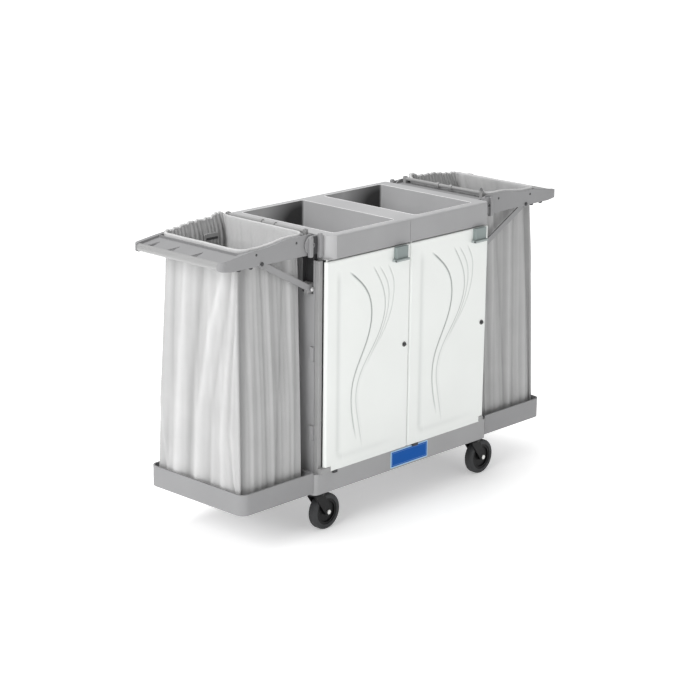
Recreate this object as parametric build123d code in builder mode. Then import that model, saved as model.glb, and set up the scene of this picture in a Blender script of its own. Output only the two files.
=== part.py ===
from build123d import *
import os
from math import atan2, degrees, hypot, sqrt

# Housekeeping cart with a two-door cabinet and two folding bag holders.
# +X runs along the cart, the doors face -Y and +Z is up. The origin is on the floor, under the
# middle of the overall box. All sizes are in millimetres.

# Cabinet
cabinet_length = 801.0
cabinet_depth = 480.0
cabinet_top = 1014.0
tray_skirt = 81.0
tray_wall = 4.0
tray_flange = 36.0
corner_radius = 46.0
small_radius = 8.0
fascia_thickness = 2.8
fascia_lip = 4.0
fascia_easing = 1.0
snap_gap = 0.3

# Bins in the top tray
bin_end_rim = 55.0
bin_side_rim = 25.0
bin_divider = 104.0
bin_depth = 165.0
bin_draft = 14.0
bin_wall = 3.0
bin_corner = 12.0

# Base and platforms
base_overhang = 41.0
base_setback = 7.5
base_lift = 15.0
base_height = 72.0
base_wall = 5.0
base_radius = 18.0
platform_length = 322.0
platform_setback = 8.5
platform_lift = 8.0
platform_height = 71.0
platform_wall = 6.0
platform_floor = 8.0
floor_margin = 45.0
platform_radius = 30.0
foot_size = (28.0, 44.0, 7.0)
foot_setback = 77.0
foot_edge = 17.0
foot_corner = 4.0

# Cabinet frame
post_size = 18.0
post_wall = 2.5
post_corner = 2.0
post_overhang = 11.5
panel_thickness = 6.0
shelf_rise = 348.0
shelf_rim = 4.0
hook_rises = (138.0, 408.0)
hook_size = (8.0, 14.0, 48.0)
back_inset = 8.0
partition_inset = 3.0
shelf_thickness = 12.0
partition_thickness = 16.0
fit_gap = 0.5

# Doors, their pins, latches and locks
door_thickness = 17.0
door_proud = 2.0
door_clearance = 4.0
door_gap = 4.0
door_easing = 3.0
door_foot_gap = 1.5
door_post_gap = 1.0
pin_radius = 3.0
pin_reach = 26.0
pin_seat = 10.0
running_gap = 0.08
hinge_block = (42.0, 58.0, 18.0)
notch_gap = 3.0
notch_lift = 2.0
latch_width = 58.0
latch_height = 40.0
latch_depth = 13.0
latch_inset = 22.0
latch_tab = 8.0
latch_wall = 2.5
lock_radius = 9.0
lock_inset = 22.0
lock_rise = 371.0
cam_length = 22.0
cam_width = 11.0
cam_thickness = 3.0
cam_setback = 2.0
cam_slot = (8.0, 36.0)
key_slot = (1.6, 8.0)
lock_proud = 1.5

# Castors
wheel_diameter = 125.0
tyre_width = 30.0
hub_diameter = 92.0
hub_width = 26.0
castor_trail = 38.0
castor_inset = (39.5, 32.5)
axle_radius = 5.0
leg_thickness = 4.0
leg_gap = 2.0
kingpin_radius = 6.0
swivel_radius = 19.0
castor_plate = (66.0, 50.0, 4.0)
castor_plate_corner = 9.0
castor_plate_lift = 20.0
kingpin_gap = 1.0
kingpin_socket = 6.0
bolt_radius = 3.0
bolt_spread = (50.0, 34.0)
bolt_head = 5.0
nut_radius = 8.5
nut_height = 4.0
crown_gap = 3.0
swivel_gap = 0.5
kingpin_reach = 2.5
axle_boss_radius = 14.0
tyre_shoulder = 7.0
hub_recess = 5.0
hub_lip = 8.0
hub_centre_radius = 13.0

# Folding bag holders
arm_setback = 36.0
arm_width = 16.0
arm_plate = 5.0
arm_inner_wall = 4.0
arm_roof = 4.0
pivot_reach = 39.5
pivot_drop = 25.0
arm_end_radius = 34.0
arm_crest = ((105.0, 34.0), (193.0, 21.0), (249.0, 19.0))
arm_nose = (347.0, 8.0, -32.0)
arm_slot = (45.0, 280.0, 60.0)
channel_reach = 40.0
grip_reach = 384.0
grip_drop = 12.0
grip_diameter = 25.0
grip_boss_radius = 15.0
end_wall_reach = 300.0
end_wall_thickness = 5.0
end_wall_rise = 14.0
web_thickness = 6.0
web_spread = 57.0
web_root = (13.0, 45.0)
web_tip = 6.0
arm_corner = 22.0
handle_shelf = (7.0, 7.0, 4.0)
shelf_holes = (-55.0, 55.0, 150.0)
shelf_hole = (27.0, 72.0, 14.0)
strut_reach = 219.0
strut_drop_from_pivot = 28.0
strut_boss_radius = 11.0
strut_width = 20.0
strut_thickness = 5.0
strut_pin_radius = 4.0
foot_back = 7.0
foot_drop = 149.0
slider_height = 30.0
ear_thickness = 6.0
ear_radius = 30.0
ear_gap = 2.0
pivot_pin_radius = 5.0
pivot_pin_head = 3.0
header_plate = 4.0
beam_height = 27.0
beam_reach = 10.0
beam_wall = 4.0
beam_drop = 2.0
rail_size = 12.0
rail_lift = 10.0
rail_block = 14.0
rail_block_corner = 3.0
rail_block_proud = 2.0
clip_places = (-38.0, 22.0)
clip_width = 12.0
clip_thickness = 3.0
track_depth = 15.0
track_width = 50.0
track_wall = 2.0
track_inset = 1.0
track_easing = 0.2
slider_gap = 1.0
lug_width = 14.0
lug_reach = 3.0

# Bags
bag_wall = 3.0
bag_corner = 18.0
bag_rim_drop = 10.0
bag_floor_gap = 2.0
bag_arm_gap = 2.0
bag_beam_gap = 8.0
bag_end_gap = 6.0
bag_foot_gaps = (26.5, 12.5, 15.0)

# Name plate
name_plate = (190.0, 60.0, 1.6)
name_plate_x = 24.0
name_plate_corner = 4.0

# Places worked out from the sizes above
latch_reach = door_proud + latch_depth + latch_tab
mid_y = latch_reach / 2
half_cabinet = cabinet_length / 2
front_y = mid_y - cabinet_depth / 2
rear_y = mid_y + cabinet_depth / 2
skirt_bottom = cabinet_top - tray_skirt
base_length = cabinet_length + 2 * base_overhang
base_bottom = wheel_diameter + base_lift
base_top = base_bottom + base_height
platform_bottom = base_bottom + platform_lift
platform_top = platform_bottom + platform_height
base_depth = cabinet_depth - 2 * base_setback
base_front_y = mid_y - base_depth / 2
platform_depth = base_depth - 2 * platform_setback
platform_centre_x = base_length / 2 + platform_length / 2
platform_end_x = base_length / 2 + platform_length
foot_spread = platform_depth / 2 - foot_setback
castor_x = base_length / 2 - castor_inset[0]
castor_y = base_depth / 2 - castor_inset[1]
plate_height = base_bottom + castor_plate_lift
door_front_y = front_y - door_proud
door_back_y = door_front_y + door_thickness
door_bottom = base_top + door_foot_gap
door_top = skirt_bottom - door_clearance
door_length = half_cabinet + door_clearance - door_gap / 2
door_radius = door_thickness / 2
door_axis_y = door_front_y + door_radius
lock_height = base_top + lock_rise
shelf_height = base_top + shelf_rise
post_x = half_cabinet + post_overhang
post_front_y = door_back_y + door_post_gap
post_rear_y = rear_y - (post_front_y - front_y)
panel_face_x = post_x + post_size / 2
arm_outer = cabinet_depth / 2 - arm_setback
arm_inner = arm_outer - arm_width
arm_centre = arm_outer - arm_width / 2
ear_inner = arm_outer + ear_gap
pivot_x = half_cabinet + pivot_reach
pivot_z = cabinet_top - pivot_drop
grip_x = pivot_x + grip_reach
grip_z = pivot_z - grip_drop
end_wall_x = pivot_x + end_wall_reach
end_wall_top = pivot_z + end_wall_rise
strut_x = pivot_x + strut_reach
strut_z = pivot_z - strut_drop_from_pivot
foot_x = pivot_x - foot_back
foot_z = pivot_z - foot_drop
slot_outer = arm_outer - arm_plate
slot_inner = arm_outer - arm_width + arm_inner_wall
strut_centre = (slot_outer + slot_inner) / 2
header_face_x = half_cabinet + header_plate
track_face_x = panel_face_x - track_inset
track_back_x = track_face_x - track_depth
beam_top = cabinet_top - beam_drop
beam_bottom = beam_top - beam_height
track_top = beam_bottom - track_inset
track_outer = slot_outer - fit_gap
track_inner = track_outer - track_width
track_bottom = foot_z - slider_height / 2 - 2 * track_wall
slider_outer = strut_centre - strut_thickness / 2 - slider_gap
hub_radius = hub_diameter / 2
wheel_radius = wheel_diameter / 2
door_left = {1: -half_cabinet - door_clearance, 2: door_gap / 2}
fork_top = base_bottom - crown_gap
crown_bottom = wheel_diameter + crown_gap
crown_thickness = fork_top - crown_bottom
cam_slot_y = door_back_y + 1.0
partition_front = door_back_y + door_post_gap
partition_rear = post_rear_y - back_inset
bin_floor_bottom = cabinet_top - bin_depth - bin_wall
rail_z = beam_top + rail_lift + rail_size / 2
rail_outer = arm_inner - slider_gap
bag_top_z = cabinet_top - bag_rim_drop
bag_bottom_z = platform_bottom + platform_floor + bag_floor_gap
bag_top_half = arm_inner - bag_arm_gap
bag_bottom_half = platform_depth / 2 - platform_wall - bag_foot_gaps[2]
bag_inner_x = pivot_x + beam_reach + bag_beam_gap
bag_foot_x = base_length / 2 + bag_foot_gaps[0]
bag_outer_top_x = end_wall_x - end_wall_thickness - bag_end_gap
bag_outer_bottom_x = platform_end_x - bag_foot_gaps[1]

# The strut: its length, how far it turns and how far its foot climbs as the arm folds up a
# quarter turn.
strut_run = strut_x - foot_x
strut_drop = strut_z - foot_z
strut_length = hypot(strut_run, strut_drop)
folded_offset = foot_x - (pivot_x + pivot_z - strut_z)
folded_drop = sqrt(strut_length**2 - folded_offset**2)
foot_travel = pivot_z + (strut_x - pivot_x) - folded_drop - foot_z
strut_angle = degrees(atan2(strut_drop, strut_run))
folded_angle = degrees(atan2(folded_drop, -folded_offset))
strut_turn = 90.0 - (folded_angle - strut_angle)

os.makedirs("parts", exist_ok=True)


def save(part, label):
    """Label a finished piece and write it as one STEP file."""
    part.label = label
    export_step(part, f"parts/{label}.step")


def side_name(side):
    return "left" if side < 0 else "right"


def box_between(low, high, mode=Mode.ADD):
    """Add a box to the open part from its lowest and highest corners."""
    size = [high[i] - low[i] for i in range(3)]
    centre = [(high[i] + low[i]) / 2 for i in range(3)]
    with Locations(tuple(centre)):
        Box(size[0], size[1], size[2], mode=mode)


def span(a, b):
    """Two numbers in rising order."""
    return min(a, b), max(a, b)


# Base chassis: an upturned moulded tray with a deck, closed castor bosses and rounded corners.
def make_base():
    boss_bottom = plate_height + castor_plate[2]
    with BuildPart() as base:
        with BuildSketch(Plane.XY.offset(base_bottom)):
            with Locations((0, mid_y)):
                RectangleRounded(base_length, base_depth, base_radius)
        extrude(amount=base_top - base_bottom)
        with BuildSketch(Plane.XY.offset(base_bottom)):
            with Locations((0, mid_y)):
                RectangleRounded(
                    base_length - 2 * base_wall, base_depth - 2 * base_wall, base_radius - base_wall
                )
        extrude(amount=base_top - base_bottom - base_wall, mode=Mode.SUBTRACT)
        with BuildSketch(Plane.XY.offset(boss_bottom)):
            with Locations((0, mid_y)):
                with GridLocations(2 * castor_x, 2 * castor_y, 2, 2):
                    Rectangle(castor_plate[0], castor_plate[1])
        extrude(amount=base_top - boss_bottom)
        for x in (-castor_x, castor_x):
            for y in (-castor_y, castor_y):
                with Locations((x, mid_y + y, boss_bottom)):
                    Hole(radius=kingpin_radius + kingpin_gap, depth=kingpin_socket)
    save(base.part, "base_chassis")


# Platforms: open trays that carry the bags, bolted to the ends of the base.
def make_platform(side):
    centre_x = side * platform_centre_x
    with BuildPart() as platform:
        with BuildSketch(Plane.XY.offset(platform_bottom)):
            with Locations((centre_x, mid_y)):
                Rectangle(platform_length, platform_depth)
        extrude(amount=platform_top - platform_bottom)
        outer_corners = platform.edges().filter_by(Axis.Z).group_by(Axis.X)[-1 if side > 0 else 0]
        fillet(outer_corners, radius=platform_radius)
        open_face = platform.faces().sort_by(Axis.Z)[-1]
        offset(amount=-platform_wall, openings=open_face)
        with BuildSketch(Plane.XY.offset(platform_bottom)):
            with Locations((centre_x, mid_y)):
                Rectangle(platform_length - 2 * floor_margin, platform_depth - 2 * floor_margin)
        extrude(amount=platform_floor)
    save(platform.part, f"platform_{side_name(side)}")


def make_platform_feet():
    foot_middle_x = platform_end_x - foot_size[0] / 2 - foot_edge
    with BuildPart() as feet:
        with BuildSketch(Plane.XY.offset(platform_bottom - foot_size[2])):
            with Locations((0, mid_y)):
                with GridLocations(2 * foot_middle_x, 2 * foot_spread, 2, 2):
                    RectangleRounded(foot_size[0], foot_size[1], foot_corner)
        extrude(amount=foot_size[2])
    save(feet.part, "platform_feet")


# Castors: a plate with its swivel head and kingpin, a fork with its axle, and a tyred wheel.
def castor_places():
    for x_side, x_name in ((-1, "left"), (1, "right")):
        for y_side, y_name in ((-1, "front"), (1, "rear")):
            yield f"{y_name}_{x_name}", x_side * castor_x, mid_y + y_side * castor_y


def make_castor_plates():
    with BuildPart() as plates:
        for _, x, y in castor_places():
            with BuildSketch(Plane.XY.offset(plate_height)):
                with Locations((x, y)):
                    RectangleRounded(castor_plate[0], castor_plate[1], castor_plate_corner)
                with Locations((x, y)):
                    with GridLocations(bolt_spread[0], bolt_spread[1], 2, 2):
                        Circle(bolt_radius, mode=Mode.SUBTRACT)
            extrude(amount=castor_plate[2])
            with BuildSketch(Plane.XY.offset(fork_top + swivel_gap)):
                with Locations((x, y)):
                    Circle(swivel_radius)
            extrude(amount=plate_height - fork_top - swivel_gap)
            with BuildSketch(Plane.XY.offset(crown_bottom - kingpin_reach)):
                with Locations((x, y)):
                    Circle(kingpin_radius)
            extrude(amount=plate_height - crown_bottom + kingpin_reach)
    save(plates.part, "castor_plates")


def make_castor_bolts():
    with BuildPart() as bolts:
        for _, x, y in castor_places():
            with BuildSketch(Plane.XY.offset(plate_height - bolt_head)):
                with Locations((x, y)):
                    with GridLocations(bolt_spread[0], bolt_spread[1], 2, 2):
                        RegularPolygon(radius=bolt_radius + kingpin_reach, side_count=6)
            extrude(amount=bolt_head)
            with BuildSketch(Plane.XY.offset(plate_height)):
                with Locations((x, y)):
                    with GridLocations(bolt_spread[0], bolt_spread[1], 2, 2):
                        Circle(bolt_radius)
            extrude(amount=castor_plate[2])
    save(bolts.part, "castor_bolts")


def make_fork(name, x, y):
    leg_inner = tyre_width / 2 + leg_gap
    axle_x = x + castor_trail
    with BuildPart() as fork:
        with BuildSketch(Plane.XY.offset(crown_bottom)):
            with Locations((x, y)):
                Circle(swivel_radius + 8)
                Circle(kingpin_radius + running_gap, mode=Mode.SUBTRACT)
        extrude(amount=crown_thickness)
        for leg in (-1, 1):
            near = y + leg * leg_inner
            with BuildSketch(Plane.XZ.offset(-max(near, near + leg * leg_thickness))):
                with BuildLine():
                    Polyline(
                        (x - 20, fork_top),
                        (x - 20, crown_bottom - 8),
                        (axle_x - 13, wheel_radius - 4),
                        (axle_x + 13, wheel_radius - 4),
                        (x + 24, crown_bottom - 6),
                        (x + 24, fork_top),
                        close=True,
                    )
                make_face()
                with Locations((axle_x, wheel_radius)):
                    Circle(axle_boss_radius)
            extrude(amount=leg_thickness)
        with Locations(Location((axle_x, y, wheel_radius), (90, 0, 0))):
            Cylinder(axle_radius, 4 * tyre_width, mode=Mode.SUBTRACT)
    save(fork.part, f"castor_fork_{name}")


def make_axle(name, x, y):
    half = tyre_width / 2 + leg_gap + leg_thickness
    with BuildPart() as axle:
        with BuildSketch(Plane.XZ.offset(-(y + half))):
            with Locations((x + castor_trail, wheel_radius)):
                Circle(axle_radius)
        extrude(amount=2 * half)
        for end in (-1, 1):
            with BuildSketch(Plane.XZ.offset(-(y + end * half + (nut_height if end > 0 else 0)))):
                with Locations((x + castor_trail, wheel_radius)):
                    RegularPolygon(radius=nut_radius, side_count=6)
            extrude(amount=nut_height)
    save(axle.part, f"castor_axle_{name}")


def make_wheel(name, x, y):
    centre = (x + castor_trail, wheel_radius)
    with BuildPart() as hub:
        with BuildSketch(Plane.XZ.offset(-(y + hub_width / 2))):
            with Locations(centre):
                Circle(hub_radius)
                Circle(axle_radius + running_gap, mode=Mode.SUBTRACT)
        extrude(amount=hub_width)
        for face in (-1, 1):
            with BuildSketch(Plane.XZ.offset(-(y + face * hub_width / 2 + (hub_recess if face < 0 else 0)))):
                with Locations(centre):
                    Circle(hub_radius - hub_lip)
                    Circle(hub_centre_radius, mode=Mode.SUBTRACT)
            extrude(amount=hub_recess, mode=Mode.SUBTRACT)
    save(hub.part, f"castor_wheel_{name}")
    with BuildPart() as tyre:
        with BuildSketch(Plane.XZ.offset(-(y + tyre_width / 2))):
            with Locations(centre):
                Circle(wheel_radius)
        extrude(amount=tyre_width)
        fillet(tyre.edges().filter_by(GeomType.CIRCLE), radius=tyre_shoulder)
        with Locations(Location((centre[0], y, centre[1]), (90, 0, 0))):
            Cylinder(hub_radius, 2 * tyre_width, mode=Mode.SUBTRACT)
    save(tyre.part, f"castor_tyre_{name}")


# Cabinet frame: four square tube posts, end panels, a back, a partition and two shelves.
def make_posts():
    with BuildPart() as posts:
        with BuildSketch(Plane.XY.offset(base_top)):
            for x in (-post_x, post_x):
                for y in (post_front_y + post_size / 2, post_rear_y - post_size / 2):
                    with Locations((x, y)):
                        RectangleRounded(post_size, post_size, post_corner)
                        inner = post_size - 2 * post_wall
                        Rectangle(inner, inner, mode=Mode.SUBTRACT)
        extrude(amount=skirt_bottom - base_top)
        box_between(
            (post_x - post_size / 2 - 1, cam_slot_y, lock_height - cam_slot[1] / 2),
            (post_x, cam_slot_y + cam_slot[0], lock_height + cam_slot[1] / 2),
            mode=Mode.SUBTRACT,
        )
    save(posts.part, "corner_posts")


def make_hinge_block():
    left = -panel_face_x
    right = left + hinge_block[0]
    block_top = base_top + hinge_block[2]
    with BuildPart() as block:
        box_between((left, door_front_y, base_top), (right, post_front_y, block_top))
        box_between(
            (left + post_size, post_front_y, base_top), (right, door_front_y + hinge_block[1], block_top)
        )
        with Locations((door_left[1] + door_radius, door_axis_y, block_top)):
            Hole(radius=pin_radius, depth=pin_seat)
    save(block.part, "door_hinge_block")


def make_end_panel(side):
    outer = panel_face_x
    inner = outer - panel_thickness
    front = post_front_y + post_size + fit_gap
    rear = post_rear_y - post_size - fit_gap
    x_low, x_high = span(side * inner, side * outer)
    with BuildPart() as panel:
        box_between((x_low, front, base_top), (x_high, rear, skirt_bottom))
        for y_side in (-1, 1):
            y_edge = front if y_side < 0 else rear
            window_low, window_high = track_span(y_side)
            box_between(
                (x_low - 1, window_low - track_easing, track_bottom - track_easing),
                (x_high + 1, window_high + track_easing, skirt_bottom + 1),
                mode=Mode.SUBTRACT,
            )
            hook_low, hook_high = span(side * outer, side * (outer + hook_size[0]))
            y_low, y_high = span(y_edge, y_edge - y_side * hook_size[1])
            for hook_rise in hook_rises:
                hook_foot = base_top + hook_rise - hook_size[2] / 2
                box_between((hook_low, y_low, hook_foot), (hook_high, y_high, hook_foot + hook_size[2]))
    save(panel.part, f"end_panel_{side_name(side)}")


def track_span(y_side):
    """Front and rear limits of one strut track."""
    return span(mid_y + y_side * track_inner, mid_y + y_side * track_outer)


# Strut tracks: dark channels let into the end panels, in which the strut feet climb.
def make_strut_track(side):
    x_low, x_high = span(side * track_back_x, side * track_face_x)
    cut_low, cut_high = span(side * (track_back_x + track_wall), side * (track_face_x + 1))
    with BuildPart() as track:
        for y_side in (-1, 1):
            y_low, y_high = track_span(y_side)
            box_between((x_low, y_low, track_bottom), (x_high, y_high, track_top))
            box_between(
                (cut_low, y_low + track_wall, track_bottom + track_wall),
                (cut_high, y_high - track_wall, track_top + 1),
                mode=Mode.SUBTRACT,
            )
    save(track.part, f"strut_track_{side_name(side)}")


def make_back_panel():
    with BuildPart() as back:
        box_between(
            (-post_x + post_size / 2 + fit_gap, post_rear_y - back_inset, base_top),
            (post_x - post_size / 2 - fit_gap, post_rear_y - back_inset + panel_thickness, skirt_bottom),
        )
    save(back.part, "back_panel")


def make_partition():
    half = partition_thickness / 2
    with BuildPart() as partition:
        box_between((-half, partition_front, base_top), (half, partition_rear, bin_floor_bottom))
        box_between(
            (-half + partition_inset, partition_front, bin_floor_bottom),
            (half - partition_inset, partition_rear, skirt_bottom),
        )
        box_between(
            (-half - 1, cam_slot_y, lock_height - cam_slot[1] / 2),
            (0, cam_slot_y + cam_slot[0], lock_height + cam_slot[1] / 2),
            mode=Mode.SUBTRACT,
        )
    save(partition.part, "centre_partition")


def make_shelves():
    inner = partition_thickness / 2
    outer = panel_face_x - panel_thickness
    front = post_front_y + post_size + fit_gap
    rear = post_rear_y - post_size - fit_gap
    with BuildPart() as shelves:
        for side in (-1, 1):
            x_low, x_high = span(side * inner, side * outer)
            x_in, x_out = span(side * (inner + shelf_rim), side * (outer - shelf_rim))
            box_between((x_low, front, shelf_height), (x_high, rear, shelf_height + shelf_thickness))
            box_between(
                (x_in, front + shelf_rim, shelf_height - 1),
                (x_out, rear - shelf_rim, shelf_height + shelf_thickness - shelf_rim),
                mode=Mode.SUBTRACT,
            )
    save(shelves.part, "shelves")


# Top tray: one moulding with two drafted bins, a skirt all round and a flange along the bottom.
def make_tray():
    bin_length = half_cabinet - bin_end_rim - bin_divider / 2
    bin_width = cabinet_depth - 2 * bin_side_rim
    bin_x = bin_divider / 2 + bin_length / 2
    with BuildPart() as tray:
        with BuildSketch(Plane.XY.offset(skirt_bottom)):
            with Locations((0, mid_y)):
                Rectangle(cabinet_length, cabinet_depth)
        extrude(amount=tray_skirt)
        uprights = tray.edges().filter_by(Axis.Z)
        front_left = uprights.sort_by(Axis.Y)[:2].sort_by(Axis.X)[0]
        fillet(front_left, radius=corner_radius)
        right_end = (half_cabinet - 1, half_cabinet + 1)
        uprights = tray.edges().filter_by(Axis.Z).filter_by_position(Axis.X, *right_end)
        fillet(uprights, radius=small_radius)
        open_face = tray.faces().sort_by(Axis.Z)[0]
        offset(amount=-tray_wall, openings=open_face)
        box_between(
            (-half_cabinet + tray_wall + 1, front_y + tray_wall - 1, skirt_bottom),
            (half_cabinet - tray_wall - 1, front_y + tray_flange, skirt_bottom + tray_wall),
        )
        box_between(
            (-half_cabinet + corner_radius, rear_y - tray_flange, skirt_bottom),
            (half_cabinet - tray_wall, rear_y - tray_wall, skirt_bottom + tray_wall),
        )
        outside = (-bin_wall, bin_depth + bin_wall, Mode.ADD)
        inside = (0, bin_depth, Mode.SUBTRACT)
        for top_shrink, depth, mode in (outside, inside):
            for x in (-bin_x, bin_x):
                with BuildSketch(Plane.XY.offset(cabinet_top)):
                    with Locations((x, mid_y)):
                        RectangleRounded(bin_length - 2 * top_shrink, bin_width - 2 * top_shrink, bin_corner)
                with BuildSketch(Plane.XY.offset(cabinet_top - depth)):
                    with Locations((x, mid_y)):
                        RectangleRounded(
                            bin_length - 2 * top_shrink - 2 * bin_draft,
                            bin_width - 2 * top_shrink - 2 * bin_draft,
                            bin_corner,
                        )
                loft(mode=mode)
        box_between(
            (-half_cabinet + corner_radius - snap_gap, front_y - 1, skirt_bottom - 1),
            (half_cabinet + 1, front_y + fascia_thickness, cabinet_top - fascia_lip),
            mode=Mode.SUBTRACT,
        )
        for door in (1, 2):
            with Locations((door_left[door] + door_radius, door_axis_y, skirt_bottom + tray_wall)):
                Hole(radius=pin_radius, depth=tray_wall)
    save(tray.part, "top_tray")


def make_fascia(side):
    inner = door_gap / 8
    left = -half_cabinet + corner_radius if side < 0 else inner
    right = -inner if side < 0 else half_cabinet
    with BuildPart() as fascia:
        box_between(
            (left, front_y, skirt_bottom),
            (right, front_y + fascia_thickness - snap_gap / 2, cabinet_top - fascia_lip - snap_gap),
        )
        fillet(fascia.edges().filter_by(Axis.Z).group_by(Axis.Y)[0], radius=fascia_easing)
    save(fascia.part, f"fascia_{side_name(side)}")


def make_name_plate():
    with BuildPart() as plate:
        with BuildSketch(Plane.XZ.offset(-base_front_y)):
            with Locations((name_plate_x, (base_bottom + base_top) / 2)):
                RectangleRounded(name_plate[0], name_plate[1], name_plate_corner)
        extrude(amount=name_plate[2])
    save(plate.part, "name_plate")


# Doors: hollow-sounding moulded panels with a full-round hinge edge, turning on short pins.
def make_door(number):
    left = door_left[number]
    right = left + door_length
    pin_x = left + door_radius
    with BuildPart() as door:
        with BuildSketch(Plane.XY.offset(door_bottom)):
            with Locations((pin_x, door_axis_y)):
                Circle(door_radius)
            with Locations(((pin_x + right) / 2, door_axis_y)):
                Rectangle(right - pin_x, door_thickness)
        extrude(amount=door_top - door_bottom)
        fillet(door.edges().filter_by(Axis.Z).group_by(Axis.X)[-1], radius=door_easing)
        if number == 1:
            block_right = hinge_block[0] - panel_face_x
            box_between(
                (left - 1, door_front_y - 1, door_bottom - 1),
                (block_right + notch_gap, door_back_y + 1, base_top + hinge_block[2] + notch_lift),
                mode=Mode.SUBTRACT,
            )
        for hole_z, hole_depth in ((door_top, pin_reach), (door_bottom + 2 * pin_reach, 3 * pin_reach)):
            with Locations((pin_x, door_axis_y, hole_z)):
                Hole(radius=pin_radius + running_gap, depth=hole_depth + 1)
        with Locations(Location((right - lock_inset, door_axis_y, lock_height), (90, 0, 0))):
            Cylinder(lock_radius + running_gap, 2 * door_thickness, mode=Mode.SUBTRACT)
    save(door.part, f"door_{number}")


def make_door_pins():
    with BuildPart() as pins:
        for number in (1, 2):
            pin_x = door_left[number] + door_radius
            foot = base_top + hinge_block[2] - pin_seat if number == 1 else base_top
            lower = (foot, door_bottom + 2 * pin_reach - pin_seat)
            upper = (door_top - pin_reach, skirt_bottom + tray_wall)
            for low, high in (lower, upper):
                with BuildSketch(Plane.XY.offset(low)):
                    with Locations((pin_x, door_axis_y)):
                        Circle(pin_radius)
                extrude(amount=high - low)
    save(pins.part, "door_hinge_pins")


def make_lock(number):
    centre_x = door_left[number] + door_length - lock_inset
    cam_start = door_back_y + cam_setback
    with BuildPart() as lock:
        with BuildSketch(Plane.XZ.offset(-cam_start)):
            with Locations((centre_x, lock_height)):
                Circle(lock_radius)
        extrude(amount=cam_start - door_front_y + lock_proud)
        with BuildSketch(Plane.XZ.offset(-(cam_start + cam_thickness))):
            with Locations((centre_x, lock_height - cam_length / 2)):
                Rectangle(cam_width, cam_length)
            with Locations((centre_x, lock_height)):
                Circle(lock_radius - 1)
        extrude(amount=cam_thickness)
        box_between(
            (centre_x - key_slot[0] / 2, door_front_y - lock_proud - 1, lock_height - key_slot[1] / 2),
            (centre_x + key_slot[0] / 2, door_front_y + cam_thickness, lock_height + key_slot[1] / 2),
            mode=Mode.SUBTRACT,
        )
    save(lock.part, f"door_lock_{number}")


def latch_span(number):
    right = door_left[number] + door_length - latch_inset
    return right - latch_width, right


def make_latch_housing(number):
    left, right = latch_span(number)
    with BuildPart() as housing:
        box_between(
            (left, door_front_y - latch_depth, door_top - latch_height), (right, door_front_y, door_top)
        )
        fillet(housing.edges().filter_by(Axis.Z).group_by(Axis.Y)[0], radius=door_easing)
        box_between(
            (left + latch_wall, door_front_y - latch_depth + latch_wall, door_top - latch_height - 1),
            (right - latch_wall, door_front_y + 1, door_top - latch_wall),
            mode=Mode.SUBTRACT,
        )
    save(housing.part, f"latch_housing_{number}")


def make_latch_slide(number):
    left, right = latch_span(number)
    inner = latch_wall + fit_gap
    shelf = door_top - latch_height - fit_gap
    with BuildPart() as slide:
        box_between(
            (left + inner, door_front_y - latch_depth + inner, shelf - 1),
            (right - inner, door_front_y - fit_gap, door_top - inner - 1),
        )
        box_between(
            (left - latch_tab, door_front_y - latch_reach + door_proud, shelf - latch_tab),
            (right - 1, door_front_y - fit_gap, shelf),
        )
        fillet(slide.edges().filter_by(Axis.X).group_by(Axis.Y)[0], radius=2.5)
    save(slide.part, f"latch_slide_{number}")


# End headers: cross members on the tray's ends, with ears that hold the folding frames.
def make_header(side):
    plate_low, plate_high = span(side * half_cabinet, side * header_face_x)
    beam_low, beam_high = span(side * header_face_x, side * (pivot_x + beam_reach))
    inner_low, inner_high = span(side * header_face_x, side * (pivot_x + beam_reach - beam_wall))
    beam_half = slot_inner
    with BuildPart() as header:
        box_between(
            (plate_low, mid_y - ear_inner - ear_thickness, skirt_bottom),
            (plate_high, mid_y + ear_inner + ear_thickness, beam_top),
        )
        box_between((beam_low, mid_y - beam_half, beam_bottom), (beam_high, mid_y + beam_half, beam_top))
        box_between(
            (inner_low, mid_y - beam_half + beam_wall, beam_bottom - 1),
            (inner_high, mid_y + beam_half - beam_wall, beam_top - beam_wall),
            mode=Mode.SUBTRACT,
        )
        for y_side in (-1, 1):
            y_high = max(y_side * ear_inner, y_side * (ear_inner + ear_thickness))
            with BuildSketch(Plane.XZ.offset(-(mid_y + y_high))):
                with Locations((side * pivot_x, pivot_z)):
                    Circle(ear_radius)
                with Locations((side * (pivot_x + header_face_x) / 2, pivot_z)):
                    Rectangle(pivot_x - header_face_x, 2 * ear_radius)
                with Locations((side * pivot_x, pivot_z)):
                    Circle(pivot_pin_radius, mode=Mode.SUBTRACT)
            extrude(amount=ear_thickness)
    save(header.part, f"end_header_{side_name(side)}")


def make_pivot_pins():
    inner = slot_outer + track_easing
    outer = ear_inner + ear_thickness
    stages = ((inner, outer, 0.0), (outer, outer + pivot_pin_head, pivot_pin_head))
    with BuildPart() as pins:
        for side in (-1, 1):
            for y_side in (-1, 1):
                for low, high, flare in stages:
                    y_high = max(y_side * low, y_side * high)
                    with BuildSketch(Plane.XZ.offset(-(mid_y + y_high))):
                        with Locations((side * pivot_x, pivot_z)):
                            Circle(pivot_pin_radius + flare)
                    extrude(amount=high - low)
    save(pins.part, "holder_pivot_pins")


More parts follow.
